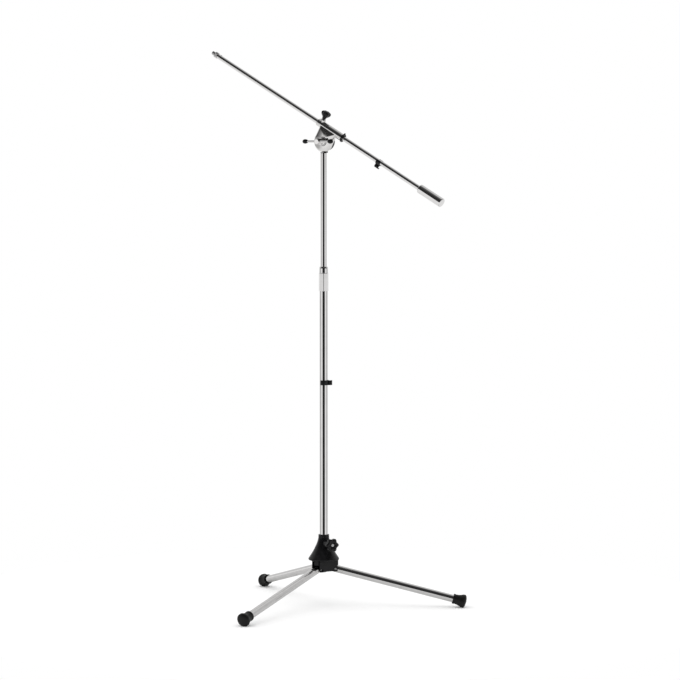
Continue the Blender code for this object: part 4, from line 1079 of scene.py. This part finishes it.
def build_surroundings():
    """White all round for light and background; reflections see a room that is dark above."""
    world = bpy.data.worlds.new("studio")
    bpy.context.scene.world = world
    world.use_nodes = True
    tree = world.node_tree
    backdrop = tree.nodes["Background"]
    place = tree.nodes.new("ShaderNodeTexCoord")
    towards = Vector((CAMERA_PLACE.x, CAMERA_PLACE.y, 0.0)).normalized()
    split = tree.nodes.new("ShaderNodeSeparateXYZ")
    tree.links.new(place.outputs["Generated"], split.inputs["Vector"])
    height = node(tree, "ShaderNodeMapRange", From_Min=-1.0, From_Max=1.0)
    tree.links.new(split.outputs["Z"], height.inputs["Value"])
    dot = tree.nodes.new("ShaderNodeVectorMath")
    dot.operation = "DOT_PRODUCT"
    dot.inputs[1].default_value = towards
    tree.links.new(place.outputs["Generated"], dot.inputs[0])
    facing = node(tree, "ShaderNodeMapRange", From_Min=-1.0, From_Max=1.0)
    tree.links.new(dot.outputs["Value"], facing.inputs["Value"])
    by_side = ramp_between(tree, facing.outputs["Result"],
                           [(0.10, 0.95), (0.24, 0.62), (0.45, 0.42), (0.62, 0.45), (0.68, 0.90),
                            (0.76, 0.90), (0.90, 0.66), (0.935, 0.35), (0.955, 0.02), (1.0, 0.006)])
    overhead = ramp_between(tree, height.outputs["Result"],
                            [(0.50, 0.030), (0.90, 0.022), (1.0, 0.10)])
    behind = ramp_between(tree, facing.outputs["Result"], [(0.36, 1.0), (0.54, 0.0)])
    below = ramp_between(tree, height.outputs["Result"], [(0.385, 1.0), (0.415, 0.0)])
    above = ramp_between(tree, height.outputs["Result"], [(0.525, 0.0), (0.570, 1.0)])
    level = mixed(tree, below, by_side, LOW_ROOM)
    high = mixed(tree, behind, overhead, REAR_ROOM)
    pattern = mixed(tree, above, level, high)
    ray = tree.nodes.new("ShaderNodeLightPath")
    chosen = tree.nodes.new("ShaderNodeMixRGB")
    chosen.inputs["Color1"].default_value = WHITE
    tree.links.new(ray.outputs["Is Glossy Ray"], chosen.inputs["Fac"])
    tree.links.new(pattern, chosen.inputs["Color2"])
    tree.links.new(chosen.outputs["Color"], backdrop.inputs["Color"])


def mixed(tree, factor, first, second):
    """Blend of a socket with another socket or a fixed colour."""
    mix = tree.nodes.new("ShaderNodeMixRGB")
    tree.links.new(factor, mix.inputs["Fac"])
    tree.links.new(first, mix.inputs["Color1"])
    if isinstance(second, tuple):
        mix.inputs["Color2"].default_value = second
    else:
        tree.links.new(second, mix.inputs["Color2"])
    return mix.outputs["Color"]


def build_floor():
    """Pale floor disc under the stand."""
    mesh = bmesh.new()
    bmesh.ops.create_circle(mesh, cap_ends=True, segments=96, radius=FLOOR_RADIUS)
    material = bpy.data.materials.new("pale_floor")
    material.use_nodes = True
    tree = material.node_tree
    shader = tree.nodes["Principled BSDF"]
    shader.inputs["Roughness"].default_value = 0.9
    shader.inputs["Specular IOR Level"].default_value = 0.0
    speckle = stretched_noise(tree, (1.0, 1.0, 1.0), 9.0, 3.0)
    pale = blended(tree, speckle, (0.985, 0.985, 0.985), (0.995, 0.995, 0.995))
    ray = tree.nodes.new("ShaderNodeLightPath")
    seen = mixed(tree, ray.outputs["Is Glossy Ray"], pale, FLOOR_IN_REFLECTIONS)
    tree.links.new(seen, shader.inputs["Base Color"])
    floor = make("studio_floor", mesh)
    floor.data.materials.append(material)
    floor.location.z = -FLOOR_DROP


def build_light():
    """Broad soft light from above that grounds the feet."""
    data = bpy.data.lights.new("soft_light", "SUN")
    data.energy = SUN_STRENGTH
    data.angle = SUN_SPREAD
    light = bpy.data.objects.new("soft_light", data)
    light.rotation_euler = (radians(20), radians(10), 0.0)
    light.visible_glossy = False
    bpy.context.scene.collection.objects.link(light)


def build_camera():
    """Long lens a little above the boom joint's height, looking slightly down."""
    data = bpy.data.cameras.new("camera")
    data.lens = CAMERA_LENS
    data.sensor_width = 36.0
    data.clip_end = 50.0
    camera = bpy.data.objects.new("camera", data)
    camera.location = CAMERA_PLACE
    camera.rotation_euler = CAMERA_AIM.to_track_quat("-Z", "Y").to_euler()
    bpy.context.scene.collection.objects.link(camera)
    bpy.context.scene.camera = camera


# ======== assembly
def build_stand():
    """All the fine pieces, each moving with its body."""
    build_hub()
    build_hub_screw()
    at_clamp = build_bell()
    build_clamp_knob(at_clamp)
    for name, azimuth in LEG_AZIMUTHS.items():
        build_leg(name, azimuth)
    build_pole()
    build_clutch()
    build_clip("tube_cable_clip", "tube_clip", LOWER_RADIUS,
               raised(TUBE_CLIP_HEIGHT) @ spun(TUBE_CLIP_AZIMUTH))
    build_horn()
    build_cradle()
    build_t_screw()
    build_thumb_screw()
    build_boom()
    build_counterweight()
    build_clip("boom_cable_clip", "boom_clip", BOOM_RADIUS,
               boom_frame(BOOM_RISE, BOOM_OFFSET) @ raised(BOOM_CLIP_PLACE) @ spun(180.0),
               side=-1.0)
    finish_hidden(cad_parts)


finishes = make_finishes()
build_stand()
build_surroundings()
build_floor()
build_light()
build_camera()
bpy.context.scene.view_settings.view_transform = "Standard"
